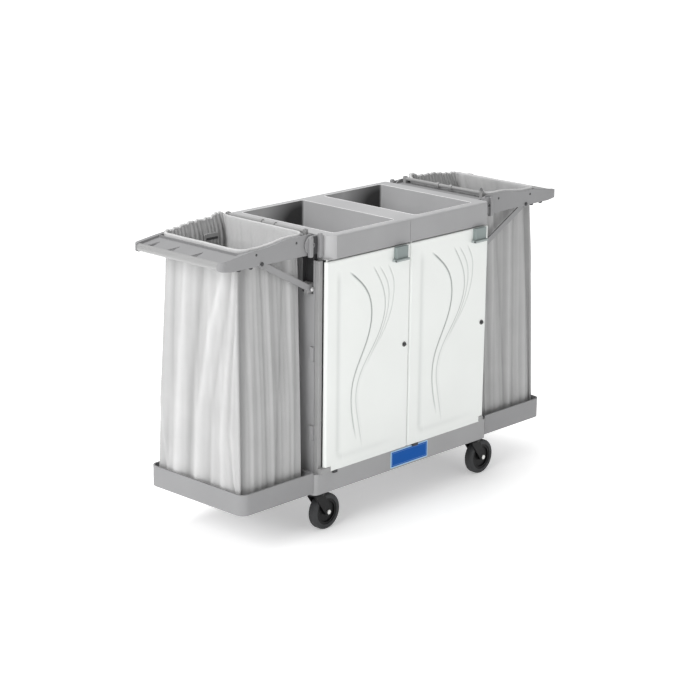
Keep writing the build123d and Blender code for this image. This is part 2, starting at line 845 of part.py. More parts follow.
# Rails: a round bar between two blocks on top of each header, with two clips near its middle.
def make_rail(side):
    with BuildPart() as rail:
        for y_side in (-1, 1):
            with BuildSketch(Plane.XY.offset(beam_top)):
                with Locations((side * pivot_x, mid_y + y_side * (rail_outer - rail_block / 2))):
                    RectangleRounded(rail_block, rail_block, rail_block_corner)
            extrude(amount=rail_z + rail_size / 2 + rail_block_proud - beam_top)
        with Locations(Location((side * pivot_x, mid_y, rail_z), (90, 0, 0))):
            Cylinder(rail_size / 2, 2 * (rail_outer - rail_block / 2))
    save(rail.part, f"rail_{side_name(side)}")


def make_rail_clips():
    with BuildPart() as clips:
        for side in (-1, 1):
            for y in clip_places:
                with Locations(Location((side * pivot_x, mid_y + y, rail_z), (90, 0, 0))):
                    Cylinder(rail_size / 2 + clip_thickness, clip_width)
                    Cylinder(rail_size / 2, 2 * clip_width, mode=Mode.SUBTRACT)
    save(clips.part, "rail_clips")


# Folding bag holders: two channelled arms, an end wall with ribs, a grip bar and two struts.
def make_holder(side):
    wall_low, wall_high = span(side * (end_wall_x - end_wall_thickness), side * end_wall_x)
    channel_x = pivot_x + channel_reach
    crest = [(side * (pivot_x + x), pivot_z + z) for x, z in arm_crest]
    slot_near = side * (pivot_x - arm_slot[0])
    slot_far = side * (pivot_x + arm_slot[1])
    slot_foot = pivot_z - arm_slot[2]
    nose_x = side * (pivot_x + arm_nose[0])
    with BuildPart() as frame:
        for y_side in (-1, 1):
            y_high = max(y_side * arm_inner, y_side * arm_outer)
            with BuildSketch(Plane.XZ.offset(-(mid_y + y_high))):
                with BuildLine():
                    Polyline(
                        (side * pivot_x, pivot_z + arm_end_radius),
                        *crest,
                        (side * end_wall_x, end_wall_top),
                        (nose_x, pivot_z + arm_nose[1]),
                        (side * grip_x, grip_z + grip_boss_radius),
                        (side * grip_x, grip_z - grip_boss_radius),
                        (nose_x, pivot_z + arm_nose[2]),
                        (side * pivot_x, pivot_z - arm_end_radius),
                        close=True,
                    )
                make_face()
                with Locations((side * pivot_x, pivot_z)):
                    Circle(arm_end_radius)
                with Locations((side * grip_x, grip_z)):
                    Circle(grip_boss_radius)
                with Locations((side * strut_x, strut_z)):
                    Circle(strut_boss_radius)
                with Locations((side * pivot_x, pivot_z)):
                    Circle(pivot_pin_radius + running_gap, mode=Mode.SUBTRACT)
            extrude(amount=arm_width)
        box_between(
            (wall_low, mid_y - arm_inner, pivot_z - arm_end_radius),
            (wall_high, mid_y + arm_inner, end_wall_top),
        )
        for y in (-web_spread, web_spread):
            with BuildSketch(Plane.XZ.offset(-(mid_y + y + web_thickness / 2))):
                with BuildLine():
                    Polyline(
                        (side * (end_wall_x - 1), end_wall_top - web_root[0]),
                        (side * grip_x, grip_z + web_tip),
                        (side * grip_x, grip_z - web_tip),
                        (side * (end_wall_x - 1), end_wall_top - web_root[1]),
                        close=True,
                    )
                make_face()
            extrude(amount=web_thickness)
        shelf_wall_z = end_wall_top - handle_shelf[0]
        shelf_bar_z = grip_z + handle_shelf[1]
        with BuildSketch(Plane.XZ.offset(-(mid_y + arm_inner))):
            with BuildLine():
                Polyline(
                    (side * (end_wall_x - 1), shelf_wall_z),
                    (side * grip_x, shelf_bar_z),
                    (side * grip_x, shelf_bar_z - handle_shelf[2]),
                    (side * (end_wall_x - 1), shelf_wall_z - handle_shelf[2]),
                    close=True,
                )
            make_face()
        extrude(amount=2 * arm_inner)
        with BuildSketch(Plane.XY.offset(grip_z)):
            for y in shelf_holes:
                with BuildLine():
                    Polyline(
                        (side * (end_wall_x + shelf_hole[0]), mid_y + y),
                        (side * (end_wall_x + shelf_hole[1]), mid_y + y - shelf_hole[2]),
                        (side * (end_wall_x + shelf_hole[1]), mid_y + y + shelf_hole[2]),
                        close=True,
                    )
                make_face()
        extrude(amount=end_wall_top - grip_z, mode=Mode.SUBTRACT)
        for y_side in (-1, 1):
            end_x = grip_x + grip_boss_radius
            with BuildSketch(Plane.XY.offset(grip_z - 2 * grip_boss_radius)):
                with Locations(
                    (side * (end_x + 1 - arm_corner / 2), mid_y + y_side * (arm_outer + 1 - arm_corner / 2))
                ):
                    Rectangle(arm_corner + 2, arm_corner + 2)
                with Locations((side * (end_x - arm_corner), mid_y + y_side * (arm_outer - arm_corner))):
                    Circle(arm_corner, mode=Mode.SUBTRACT)
            extrude(amount=4 * grip_boss_radius, mode=Mode.SUBTRACT)
        with Locations(Location((side * grip_x, mid_y, grip_z), (90, 0, 0))):
            Cylinder(grip_diameter / 2, 2 * arm_inner, mode=Mode.SUBTRACT)
        for y_side in (-1, 1):
            y_low, y_high = span(mid_y + y_side * slot_inner, mid_y + y_side * slot_outer)
            with BuildSketch(Plane.XZ.offset(-y_high)):
                with BuildLine():
                    Polyline(
                        (slot_near, crest[0][1] - arm_roof),
                        (crest[0][0], crest[0][1] - arm_roof),
                        (crest[1][0], crest[1][1] - arm_roof),
                        (slot_far, end_wall_top - 1 - arm_roof),
                        (slot_far, slot_foot),
                        (slot_near, slot_foot),
                        close=True,
                    )
                make_face()
            extrude(amount=y_high - y_low, mode=Mode.SUBTRACT)
            near_low, near_high = span(slot_near, side * channel_x)
            plate_low, plate_high = span(mid_y + y_side * (arm_inner - 1), mid_y + y_side * slot_outer)
            box_between(
                (near_low, plate_low, slot_foot), (near_high, plate_high, cabinet_top + arm_slot[2]),
                mode=Mode.SUBTRACT,
            )
            with Locations(Location((side * strut_x, mid_y + y_side * arm_centre, strut_z), (90, 0, 0))):
                Cylinder(strut_pin_radius + running_gap, 2 * arm_width, mode=Mode.SUBTRACT)
    save(frame.part, f"holder_frame_{side_name(side)}")


def make_grip_bar(side):
    with BuildPart() as bar:
        with BuildSketch(Plane.XZ.offset(-(mid_y + arm_inner))):
            with Locations((side * grip_x, grip_z)):
                Circle(grip_diameter / 2)
        extrude(amount=2 * arm_inner)
    save(bar.part, f"grip_bar_{side_name(side)}")


def make_struts(side):
    tilt = strut_angle if side > 0 else -strut_angle
    middle = (side * (strut_x + foot_x) / 2, (strut_z + foot_z) / 2)
    with BuildPart() as struts:
        for y_side in (-1, 1):
            y_top = mid_y + y_side * strut_centre + strut_thickness / 2
            with BuildSketch(Plane.XZ.offset(-y_top)):
                with Locations(Location((middle[0], middle[1], 0), (0, 0, tilt))):
                    SlotCenterToCenter(strut_length, strut_width)
            extrude(amount=strut_thickness)
            pin_low, pin_high = span(y_side * (arm_inner + fit_gap), y_side * (arm_outer + lock_proud))
            with BuildSketch(Plane.XZ.offset(-(mid_y + pin_high))):
                with Locations((side * strut_x, strut_z)):
                    Circle(strut_pin_radius)
            extrude(amount=pin_high - pin_low)
    save(struts.part, f"struts_{side_name(side)}")


def make_sliders(side):
    lug_low, lug_high = span(side * (track_face_x - lug_reach), side * (foot_x + strut_width / 2))
    block_back = track_back_x + track_wall + slider_gap
    block_low, block_high = span(side * block_back, side * (track_face_x - lug_reach))
    z_low = foot_z - slider_height / 2
    z_high = foot_z + slider_height / 2
    with BuildPart() as sliders:
        for y_side in (-1, 1):
            y_low, y_high = span(mid_y + y_side * (slider_outer - lug_width), mid_y + y_side * slider_outer)
            box_between((lug_low, y_low, z_low), (lug_high, y_high, z_high))
            in_low, in_high = span(
                mid_y + y_side * (track_inner + track_wall + slider_gap),
                mid_y + y_side * (track_outer - track_wall - slider_gap),
            )
            box_between((block_low, in_low, z_low), (block_high, in_high, z_high))
    save(sliders.part, f"strut_feet_{side_name(side)}")


# Bags: thin-walled open sacks, a little wider at the foot, standing in the platforms.
def bag_section(side, z, shrink):
    """Centre and size of the bag's outline at one height, drawn in by some amount."""
    share = (z - bag_bottom_z) / (bag_top_z - bag_bottom_z)
    inner = bag_foot_x + share * (bag_inner_x - bag_foot_x) + shrink
    outer = bag_outer_bottom_x + share * (bag_outer_top_x - bag_outer_bottom_x) - shrink
    half = bag_bottom_half + share * (bag_top_half - bag_bottom_half) - shrink
    return (side * (inner + outer) / 2, mid_y), outer - inner, 2 * half


def make_bag(side):
    outside = (0.0, bag_bottom_z, bag_top_z, Mode.ADD)
    inside = (bag_wall, bag_bottom_z + bag_wall, bag_top_z + 1, Mode.SUBTRACT)
    with BuildPart() as bag:
        for shrink, low, high, mode in (outside, inside):
            for z in (low, high):
                centre, length, width = bag_section(side, z, shrink)
                with BuildSketch(Plane.XY.offset(z)):
                    with Locations(centre):
                        RectangleRounded(length, width, bag_corner - shrink)
            loft(mode=mode)
    save(bag.part, f"bag_{side_name(side)}")


make_base()
make_platform_feet()
make_castor_plates()
make_castor_bolts()
for place, place_x, place_y in castor_places():
    make_fork(place, place_x, place_y)
    make_axle(place, place_x, place_y)
    make_wheel(place, place_x, place_y)
make_posts()
make_hinge_block()
make_back_panel()
make_partition()
make_shelves()
make_tray()
make_name_plate()
make_door_pins()
for door_number in (1, 2):
    make_door(door_number)
    make_lock(door_number)
    make_latch_housing(door_number)
    make_latch_slide(door_number)
make_pivot_pins()
make_rail_clips()
for cart_side in (-1, 1):
    make_platform(cart_side)
    make_end_panel(cart_side)
    make_strut_track(cart_side)
    make_fascia(cart_side)
    make_header(cart_side)
    make_rail(cart_side)
    make_holder(cart_side)
    make_grip_bar(cart_side)
    make_struts(cart_side)
    make_sliders(cart_side)
    make_bag(cart_side)

print("strut turn", round(strut_turn, 4), "degrees over a quarter turn of the arm")
print("foot travel", round(foot_travel, 4), "mm")
print("middle plane at y", mid_y, "door pin at x", door_left[1] + door_radius, door_left[2] + door_radius)
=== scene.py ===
import math

import bmesh
import bpy
import numpy as np
from mathutils import Matrix, Vector


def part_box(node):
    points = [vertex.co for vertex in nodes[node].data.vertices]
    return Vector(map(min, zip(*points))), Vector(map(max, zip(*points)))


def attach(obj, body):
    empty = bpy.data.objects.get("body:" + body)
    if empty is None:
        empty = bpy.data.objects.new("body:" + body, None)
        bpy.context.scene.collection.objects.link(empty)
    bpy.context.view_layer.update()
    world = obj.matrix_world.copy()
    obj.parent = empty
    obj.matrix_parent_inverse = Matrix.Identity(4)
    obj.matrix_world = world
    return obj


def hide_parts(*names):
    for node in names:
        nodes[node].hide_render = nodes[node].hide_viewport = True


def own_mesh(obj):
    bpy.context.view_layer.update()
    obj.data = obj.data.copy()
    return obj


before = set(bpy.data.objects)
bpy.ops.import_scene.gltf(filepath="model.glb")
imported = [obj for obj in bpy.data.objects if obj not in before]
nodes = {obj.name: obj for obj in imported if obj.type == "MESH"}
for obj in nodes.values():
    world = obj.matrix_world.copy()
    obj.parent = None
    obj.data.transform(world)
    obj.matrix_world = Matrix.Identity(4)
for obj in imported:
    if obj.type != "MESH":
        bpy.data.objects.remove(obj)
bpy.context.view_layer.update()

# --- Camera, floor and light -----------------------------------------------------------------
# A long lens from the front left, a little above the tray. The floor is a plain pale sheet, and
# the light is soft, with its brighter side to the left.
tray_low, tray_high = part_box("top_tray")
mid_y = (tray_low[1] + tray_high[1]) / 2
azimuth = math.radians(46.798)
elevation = math.radians(16.026)
roll = math.radians(0.715)
back = Vector((
    -math.sin(azimuth) * math.cos(elevation),
    -math.cos(azimuth) * math.cos(elevation),
    math.sin(elevation),
))
flat_right = Vector((math.cos(azimuth), -math.sin(azimuth), 0.0))
flat_up = back.cross(flat_right)
right = flat_right * math.cos(roll) + flat_up * math.sin(roll)
up = back.cross(right)
camera = bpy.data.objects.new("camera", bpy.data.cameras.new("camera"))
camera.data.lens = 106.37
camera.data.sensor_width = 36.0
camera.data.clip_end = 100.0
camera.matrix_world = Matrix.Translation((-5.060, -4.721 + mid_y, 2.495)) @ Matrix((
    (right.x, up.x, back.x, 0.0),
    (right.y, up.y, back.y, 0.0),
    (right.z, up.z, back.z, 0.0),
    (0.0, 0.0, 0.0, 1.0),
))
bpy.context.collection.objects.link(camera)
bpy.context.scene.camera = camera
bpy.context.scene.view_settings.view_transform = "Standard"


def area_light(name, place, target, size, power):
    """A square soft light at a place, aimed at a target."""
    light = bpy.data.objects.new(name, bpy.data.lights.new(name, "AREA"))
    light.data.shape = "SQUARE"
    light.data.size = size
    light.data.energy = power
    aim = (Vector(target) - Vector(place)).to_track_quat("-Z", "Y")
    light.matrix_world = Matrix.Translation(place) @ aim.to_matrix().to_4x4()
    bpy.context.collection.objects.link(light)


area_light("left_softbox", (-4.6, -0.9, 3.0), (0, 0, 0.5), 2.6, 118)
area_light("top_softbox", (-0.3, 0.9, 4.4), (0, 0, 0.5), 2.6, 105)
area_light("front_fill", (-0.5, -5.5, 2.6), (0, 0, 0.6), 3.0, 16)
world = bpy.data.worlds.new("studio")
world.use_nodes = True
world.node_tree.nodes["Background"].inputs["Color"].default_value = (1.0, 1.0, 1.0, 1.0)
world.node_tree.nodes["Background"].inputs["Strength"].default_value = 0.40
bpy.context.scene.world = world

floor_mesh = bpy.data.meshes.new("floor")
floor_half = 60.0
floor_mesh.from_pydata(
    [(-floor_half, -floor_half, 0), (floor_half, -floor_half, 0), (floor_half, floor_half, 0),
     (-floor_half, floor_half, 0)],
    [], [(0, 1, 2, 3)],
)
floor = bpy.data.objects.new("floor", floor_mesh)
bpy.context.collection.objects.link(floor)
floor_paint = bpy.data.materials.new("floor_paint")
floor_paint.use_nodes = True
paint_tree = floor_paint.node_tree
paint_shader = paint_tree.nodes["Principled BSDF"]
paint_shader.inputs["Base Color"].default_value = (0.93, 0.93, 0.93, 1.0)
paint_shader.inputs["Roughness"].default_value = 0.9
paint_shader.inputs["Emission Color"].default_value = (1.0, 1.0, 1.0, 1.0)
floor_place = paint_tree.nodes.new("ShaderNodeTexCoord").outputs["Object"]
reach = paint_tree.nodes.new("ShaderNodeVectorMath")
reach.operation = "LENGTH"
paint_tree.links.new(floor_place, reach.inputs[0])
glow = paint_tree.nodes.new("ShaderNodeMapRange")
glow.inputs["From Min"].default_value = 0.45
glow.inputs["From Max"].default_value = 1.15
glow.inputs["To Min"].default_value = 0.30
glow.inputs["To Max"].default_value = 0.75
paint_tree.links.new(reach.outputs["Value"], glow.inputs["Value"])
paint_tree.links.new(glow.outputs["Result"], paint_shader.inputs["Emission Strength"])
floor_mesh.materials.append(floor_paint)


# --- Grey mouldings ----------------------------------------------------------------------------
# Base, platforms, tray, fascia and folding frames are injection-moulded grey plastic with a fine
# etched grain, slightly uneven in tone, and softened edges.
def node_link(tree, kind, **inputs):
    """Add a shader node and fill in or link its named inputs."""
    node = tree.nodes.new(kind)
    for name, value in inputs.items():
        socket = node.inputs[name.replace("_", " ")]
        if isinstance(value, bpy.types.NodeSocket):
            tree.links.new(value, socket)
        else:
            socket.default_value = value
    return node


def moulded(name, colour, roughness, grain=900.0, grain_depth=0.04, edge=0.0012, mottle=0.05,
            specular=0.35):
    """Moulded plastic: a base colour that drifts a little, a fine grain and rounded edges."""
    material = bpy.data.materials.new(name)
    material.use_nodes = True
    tree = material.node_tree
    shader = tree.nodes["Principled BSDF"]
    place = tree.nodes.new("ShaderNodeTexCoord").outputs["Object"]
    cloud = node_link(tree, "ShaderNodeTexNoise", Vector=place, Scale=5.0, Detail=4.0)
    tone = node_link(tree, "ShaderNodeMapRange", Value=cloud.outputs["Fac"], From_Min=0.3, From_Max=0.7,
                     To_Min=1.0 - mottle, To_Max=1.0 + mottle)
    shade = node_link(tree, "ShaderNodeMixRGB", Fac=1.0, Color1=(*colour, 1.0), Color2=tone.outputs["Result"])
    shade.blend_type = "MULTIPLY"
    tree.links.new(shade.outputs["Color"], shader.inputs["Base Color"])
    fleck = node_link(tree, "ShaderNodeTexNoise", Vector=place, Scale=grain, Detail=2.0)
    gloss = node_link(tree, "ShaderNodeMapRange", Value=cloud.outputs["Fac"], To_Min=roughness - 0.05,
                      To_Max=roughness + 0.05)
    tree.links.new(gloss.outputs["Result"], shader.inputs["Roughness"])
    soft = node_link(tree, "ShaderNodeBevel", Radius=edge)
    soft.samples = 4
    bump = node_link(tree, "ShaderNodeBump", Strength=grain_depth, Distance=0.0006,
                     Height=fleck.outputs["Fac"], Normal=soft.outputs["Normal"])
    tree.links.new(bump.outputs["Normal"], shader.inputs["Normal"])
    shader.inputs["Specular IOR Level"].default_value = specular
    return material


def finish_node(node, material):
    """Give a carried-over CAD node its finish."""
    nodes[node].data.materials.clear()
    nodes[node].data.materials.append(material)


grey = moulded("grey_moulding", (0.335, 0.335, 0.34), 0.5)
grey_holder = moulded("holder_moulding", (0.275, 0.275, 0.28), 0.48)
for name in ("base_chassis", "fascia_left", "fascia_right", "end_panel_left", "end_panel_right", "back_panel",
             "centre_partition", "shelves"):
    finish_node(name, grey)
for name in ("holder_frame_left", "holder_frame_right", "struts_left", "struts_right", "end_header_left",
             "end_header_right", "platform_left", "platform_right"):
    finish_node(name, grey_holder)

# --- Light grey trim -----------------------------------------------------------------------------
# Posts, the hinge block, rails and the feet of the struts are a lighter grey nylon.
light_grey = moulded("light_trim", (0.315, 0.315, 0.315), 0.42)
for name in ("corner_posts", "door_hinge_block", "rail_left", "rail_right", "rail_clips", "strut_feet_left",
             "strut_feet_right", "grip_bar_left", "grip_bar_right"):
    finish_node(name, light_grey)

# --- Dark trim -----------------------------------------------------------------------------------
# Strut tracks and the pads under the platforms are dark grey plastic.
dark = moulded("dark_trim", (0.05, 0.05, 0.052), 0.6)
for name in ("strut_track_left", "strut_track_right", "platform_feet"):
    finish_node(name, dark)

# --- Latches -------------------------------------------------------------------------------------
# Housing and finger slide are a greenish grey, screwed to the door's top corner.
latch_grey = moulded("latch_plastic", (0.235, 0.275, 0.27), 0.4)
latch_light = moulded("latch_slide_plastic", (0.32, 0.355, 0.35), 0.4)
for number in (1, 2):
    finish_node(f"latch_housing_{number}", latch_grey)
    finish_node(f"latch_slide_{number}", latch_light)


# --- Metal parts ---------------------------------------------------------------------------------
# Plated pins, bolts, axles and castor plates, and the bright faces of the cam locks.
def plated(name, colour, roughness):
    """Bright zinc or chrome plate with a drifting, faintly brushed roughness."""
    material = bpy.data.materials.new(name)
    material.use_nodes = True
    tree = material.node_tree
    shader = tree.nodes["Principled BSDF"]
    place = tree.nodes.new("ShaderNodeTexCoord").outputs["Object"]
    drift = node_link(tree, "ShaderNodeTexNoise", Vector=place, Scale=160.0, Detail=5.0)
    gloss = node_link(tree, "ShaderNodeMapRange", Value=drift.outputs["Fac"], To_Min=roughness - 0.1,
                      To_Max=roughness + 0.15)
    tree.links.new(gloss.outputs["Result"], shader.inputs["Roughness"])
    shader.inputs["Base Color"].default_value = (*colour, 1.0)
    shader.inputs["Metallic"].default_value = 1.0
    return material


zinc = plated("zinc_plate", (0.72, 0.72, 0.70), 0.32)
chrome = plated("lock_chrome", (0.22, 0.22, 0.22), 0.3)
for name in nodes:
    if name.startswith(("castor_axle", "castor_plates", "castor_bolts", "door_hinge_pins")):
        finish_node(name, zinc)
    if name.startswith("door_lock"):
        finish_node(name, chrome)
finish_node("holder_pivot_pins", grey_holder)

# --- Castors -------------------------------------------------------------------------------------
# Black nylon forks and wheel centres, with dark grey rubber tyres moulded round them.
black = moulded("black_nylon", (0.005, 0.005, 0.0055), 0.45, specular=0.25)
rubber = moulded("tyre_rubber", (0.040, 0.041, 0.043), 0.65, grain=500.0, grain_depth=0.1)
for name in nodes:
    if name.startswith(("castor_fork", "castor_wheel")):
        finish_node(name, black)
    if name.startswith("castor_tyre"):
        finish_node(name, rubber)

# --- Doors ---------------------------------------------------------------------------------------
# Each door is a white moulded panel 17 mm thick with a full-round hinge edge. A soft channel frames
# its field on the left and bottom, and four S-shaped grooves run down the field.
door_columns = 330
door_rows = 260
channel_from_left = 0.062
channel_width = 0.011
channel_depth = 0.0018
channel_bottom = 0.043
channel_top = 0.665
corner_round = 0.022
waves = (
    # width, depth, shade weight (painted shade darkening the groove), and points (from the door's left edge,
    # above its foot) that the groove passes
    (0.0028, 0.0022, 1.00, (
        (0.113, 0.665), (0.178, 0.610), (0.218, 0.520), (0.196, 0.418), (0.135, 0.300),
        (0.124, 0.215), (0.150, 0.083))),
    (0.0022, 0.0014, 0.62, (
        (0.225, 0.665), (0.266, 0.600), (0.284, 0.530), (0.232, 0.401), (0.172, 0.320),
        (0.146, 0.235), (0.158, 0.148), (0.178, 0.052))),
    (0.0020, 0.0012, 0.52, (
        (0.254, 0.662), (0.292, 0.605), (0.302, 0.550), (0.291, 0.490), (0.247, 0.405),
        (0.194, 0.336))),
    (0.0020, 0.0012, 0.50, (
        (0.296, 0.661), (0.321, 0.614), (0.326, 0.565), (0.315, 0.510), (0.284, 0.446),
        (0.236, 0.383))),
)


def groove_profile(distance, width, depth):
    """A rounded trench: the depth falls off as a bell of the distance from the centre line."""
    return depth * np.exp(-((distance / width) ** 2))


def smooth_through(points, heights):
    """A smooth curve through a few points, as a cubic spline of height with free ends."""
    across = np.array([p[0] for p in points])[::-1]
    along = np.array([p[1] for p in points])[::-1]
    step = np.diff(along)
    count = len(along)
    matrix = np.eye(count)
    target = np.zeros(count)
    for i in range(1, count - 1):
        matrix[i, i - 1:i + 2] = step[i - 1], 2 * (step[i - 1] + step[i]), step[i]
        target[i] = 6 * ((across[i + 1] - across[i]) / step[i] - (across[i] - across[i - 1]) / step[i - 1])
    bend = np.linalg.solve(matrix, target)
    at = np.clip(np.searchsorted(along, heights) - 1, 0, count - 2)
    span = step[at]
    high = (heights - along[at]) / span
    low = 1 - high
    return (low * across[at] + high * across[at + 1]
            + span ** 2 / 6 * ((low ** 3 - low) * bend[at] + (high ** 3 - high) * bend[at + 1]))


def door_relief(across, height):
    """How far the face lies below its flat, and how much painted shade darkens it: the framing channel plus
    the waves.

    The channel is an L, two straight runs joined by a quarter circle, and its depth is a bell of
    the distance from that line. Each wave is a bell of the distance from its spline.
    """
    corner = (channel_from_left + corner_round, channel_bottom + corner_round)
    upright = np.abs(across - channel_from_left)
    bottom = np.abs(height - channel_bottom)
    turn = np.abs(np.hypot(across - corner[0], height - corner[1]) - corner_round)
    in_corner = (across < corner[0]) & (height < corner[1])
    line = np.where(in_corner, turn, np.where(height > corner[1], upright, bottom))
    side_fade = np.clip((channel_top + 0.02 - height) / 0.04, 0, 1)
    foot_fade = np.clip((0.36 - across) / 0.10, 0, 1)
    strength = np.where(height > corner[1], side_fade, foot_fade * 0.45)
    strength = np.where(in_corner, 0.75, strength)
    depth = channel_depth * strength * np.exp(-((line / channel_width) ** 2))
    # The tint is painted shade: it darkens the framing channel, the soft band beside the second wave, and
    # each wave, thinning toward its foot.
    tint = 0.16 * strength * np.exp(-((line / channel_width) ** 2))
    band = smooth_through(waves[1][3], np.clip(height, 0.06, 0.50)) + 0.009
    band_fade = np.clip((0.50 - height) / 0.12, 0, 1) * np.clip((height - 0.06) / 0.08, 0, 1)
    soft_band = band_fade * np.exp(-(((across - band) / 0.007) ** 2))
    depth = depth + 0.0010 * soft_band
    tint = tint + 0.05 * soft_band
    for width_of_wave, depth_of_wave, shade_weight, points in waves:
        top, foot = points[0][1], points[-1][1]
        centre = smooth_through(points, np.clip(height, foot, top))
        slope = np.gradient(centre, axis=0) / np.maximum(np.gradient(height, axis=0), 1e-9)
        away = np.abs(across - centre) / np.sqrt(1 + slope ** 2)
        fade = np.clip((top + 0.004 - height) / 0.02, 0, 1) * np.clip((height - foot + 0.004) / 0.05, 0, 1)
        depth = depth + fade * groove_profile(away, width_of_wave, depth_of_wave)
        thin = 0.5 + 0.5 * np.clip((height - foot) / (top - foot), 0, 1)
        tint = tint + fade * shade_weight * thin * groove_profile(away, width_of_wave, 1.0)
    return depth, np.clip(tint, 0, 0.9)


def grid_faces(rows, columns, wrap=False):
    """Four-cornered faces of a grid of points stored row by row, turned so that rows go up."""
    last = columns if wrap else columns - 1
    row, column = np.meshgrid(np.arange(rows - 1), np.arange(last), indexing="ij")
    following = (column + 1) % columns
    a = row * columns + column
    b = row * columns + following
    c = (row + 1) * columns + following
    d = (row + 1) * columns + column
    return np.stack([a, b, c, d], axis=-1).reshape(-1, 4)


def build_mesh(name, points, faces, material, attribute=None):
    """Make an object at the origin from arrays of points and four-cornered faces.

    Points that coincide are welded, which closes a row that has been drawn in to one point.
    """
    mesh = bpy.data.meshes.new(name)
    mesh.vertices.add(len(points))
    mesh.vertices.foreach_set("co", np.asarray(points, dtype=np.float32).ravel())
    mesh.loops.add(faces.size)
    mesh.loops.foreach_set("vertex_index", faces.ravel().astype(np.int32))
    mesh.polygons.add(len(faces))
    mesh.polygons.foreach_set("loop_start", np.arange(0, faces.size, faces.shape[1], dtype=np.int32))
    mesh.polygons.foreach_set("use_smooth", np.ones(len(faces), dtype=bool))
    if attribute is not None:
        layer = mesh.attributes.new(attribute[0], "FLOAT", "POINT")
        layer.data.foreach_set("value", np.asarray(attribute[1], dtype=np.float32).ravel())
    mesh.materials.append(material)
    mesh.update(calc_edges=True)
    shell = bmesh.new()
    shell.from_mesh(mesh)
    bmesh.ops.remove_doubles(shell, verts=shell.verts, dist=1e-6)
    shell.to_mesh(mesh)
    shell.free()
    piece = bpy.data.objects.new(name, mesh)
    bpy.context.collection.objects.link(piece)
    return piece


def door_paint():
    """Satin white plastic with a green tinge, darkened in its grooves by painted shade from the groove
    attribute.
    """
    material = moulded("door_white", (0.79, 0.81, 0.79), 0.32, grain=600.0, grain_depth=0.02, mottle=0.015)
    tree = material.node_tree
    shader = tree.nodes["Principled BSDF"]
    plain = shader.inputs["Base Color"].links[0].from_socket
    # Painted shade: the groove attribute mixes dark grey into the white where the face is grooved.
    groove_shading = node_link(tree, "ShaderNodeAttribute")
    groove_shading.attribute_name = "groove"
    shade = node_link(tree, "ShaderNodeMixRGB", Fac=groove_shading.outputs["Fac"], Color1=plain,
                      Color2=(0.16, 0.18, 0.18, 1.0))
    tree.links.new(shade.outputs["Color"], shader.inputs["Base Color"])
    return material


door_white = door_paint()


def make_door(number):
    """The door as one closed skin: a rounded section swept up, with the face pushed in by its grooves."""
    low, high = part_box(f"door_{number}")
    length = high[0] - low[0]
    radius = (high[1] - low[1]) / 2
    axis_y = (high[1] + low[1]) / 2
    ease = 0.003
    turn = np.linspace(0, math.pi, 13)
    face_across = np.linspace(radius, length - ease, door_columns)
    outer = np.concatenate([
        np.stack([radius - radius * np.sin(turn), axis_y + radius * np.cos(turn)], 1),
        np.stack([face_across[1:], np.full(door_columns - 1, low[1])], 1),
        np.array([[length - ease * 0.3, low[1] + ease * 0.3], [length, low[1] + ease]]),
        np.array([[length, high[1] - ease], [length - ease * 0.3, high[1] - ease * 0.3]]),
        np.linspace((length - ease, high[1]), (radius * 1.2, high[1]), 20),
    ])
    heights = np.linspace(0, high[2] - low[2], door_rows)
    if number == 1:
        block_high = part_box("door_hinge_block")[1]
        notch_x = block_high[0] + 0.003 - low[0]
        notch_z = block_high[2] + 0.002 - low[2]
        heights = np.sort(np.concatenate([heights, [notch_z - 1e-5, notch_z + 1e-5]]))
    across = np.broadcast_to(outer[:, 0], (len(heights), len(outer))).copy()
    depth_y = np.broadcast_to(outer[:, 1], (len(heights), len(outer))).copy()
    up_door = np.broadcast_to(heights[:, None], across.shape).copy()
    face = slice(len(turn), len(turn) + door_columns - 1)
    sunk, tint = door_relief(across[:, face], up_door[:, face])
    depth_y[:, face] += sunk
    groove = np.zeros_like(across)
    groove[:, face] = tint
    rim = 0.0015
    inset = np.clip((rim - np.minimum(up_door, heights[-1] - up_door)) / rim, 0, 1) * rim
    centre_x, centre_y = length / 2, axis_y
    across = across - np.sign(across - centre_x) * inset
    depth_y = depth_y - np.sign(depth_y - centre_y) * inset
    if number == 1:
        across = np.where(up_door < notch_z, np.maximum(across, notch_x), across)
    points = np.stack([across + low[0], depth_y, up_door + low[2]], -1)
    middle = np.broadcast_to((centre_x + low[0], centre_y), (1, len(outer), 2))
    foot = np.concatenate([middle, points[:1, :, 2:]], -1)
    crown = np.concatenate([middle, points[-1:, :, 2:]], -1)
    points = np.concatenate([foot, points, crown])
    groove = np.pad(groove, ((1, 1), (0, 0)))
    faces = grid_faces(len(points), len(outer), wrap=True)
    return build_mesh(f"door_skin_{number}", points.reshape(-1, 3), faces, door_white, ("groove", groove))


for number in (1, 2):
    door = make_door(number)
    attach(door, f"door_{number}")
    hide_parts(f"door_{number}")
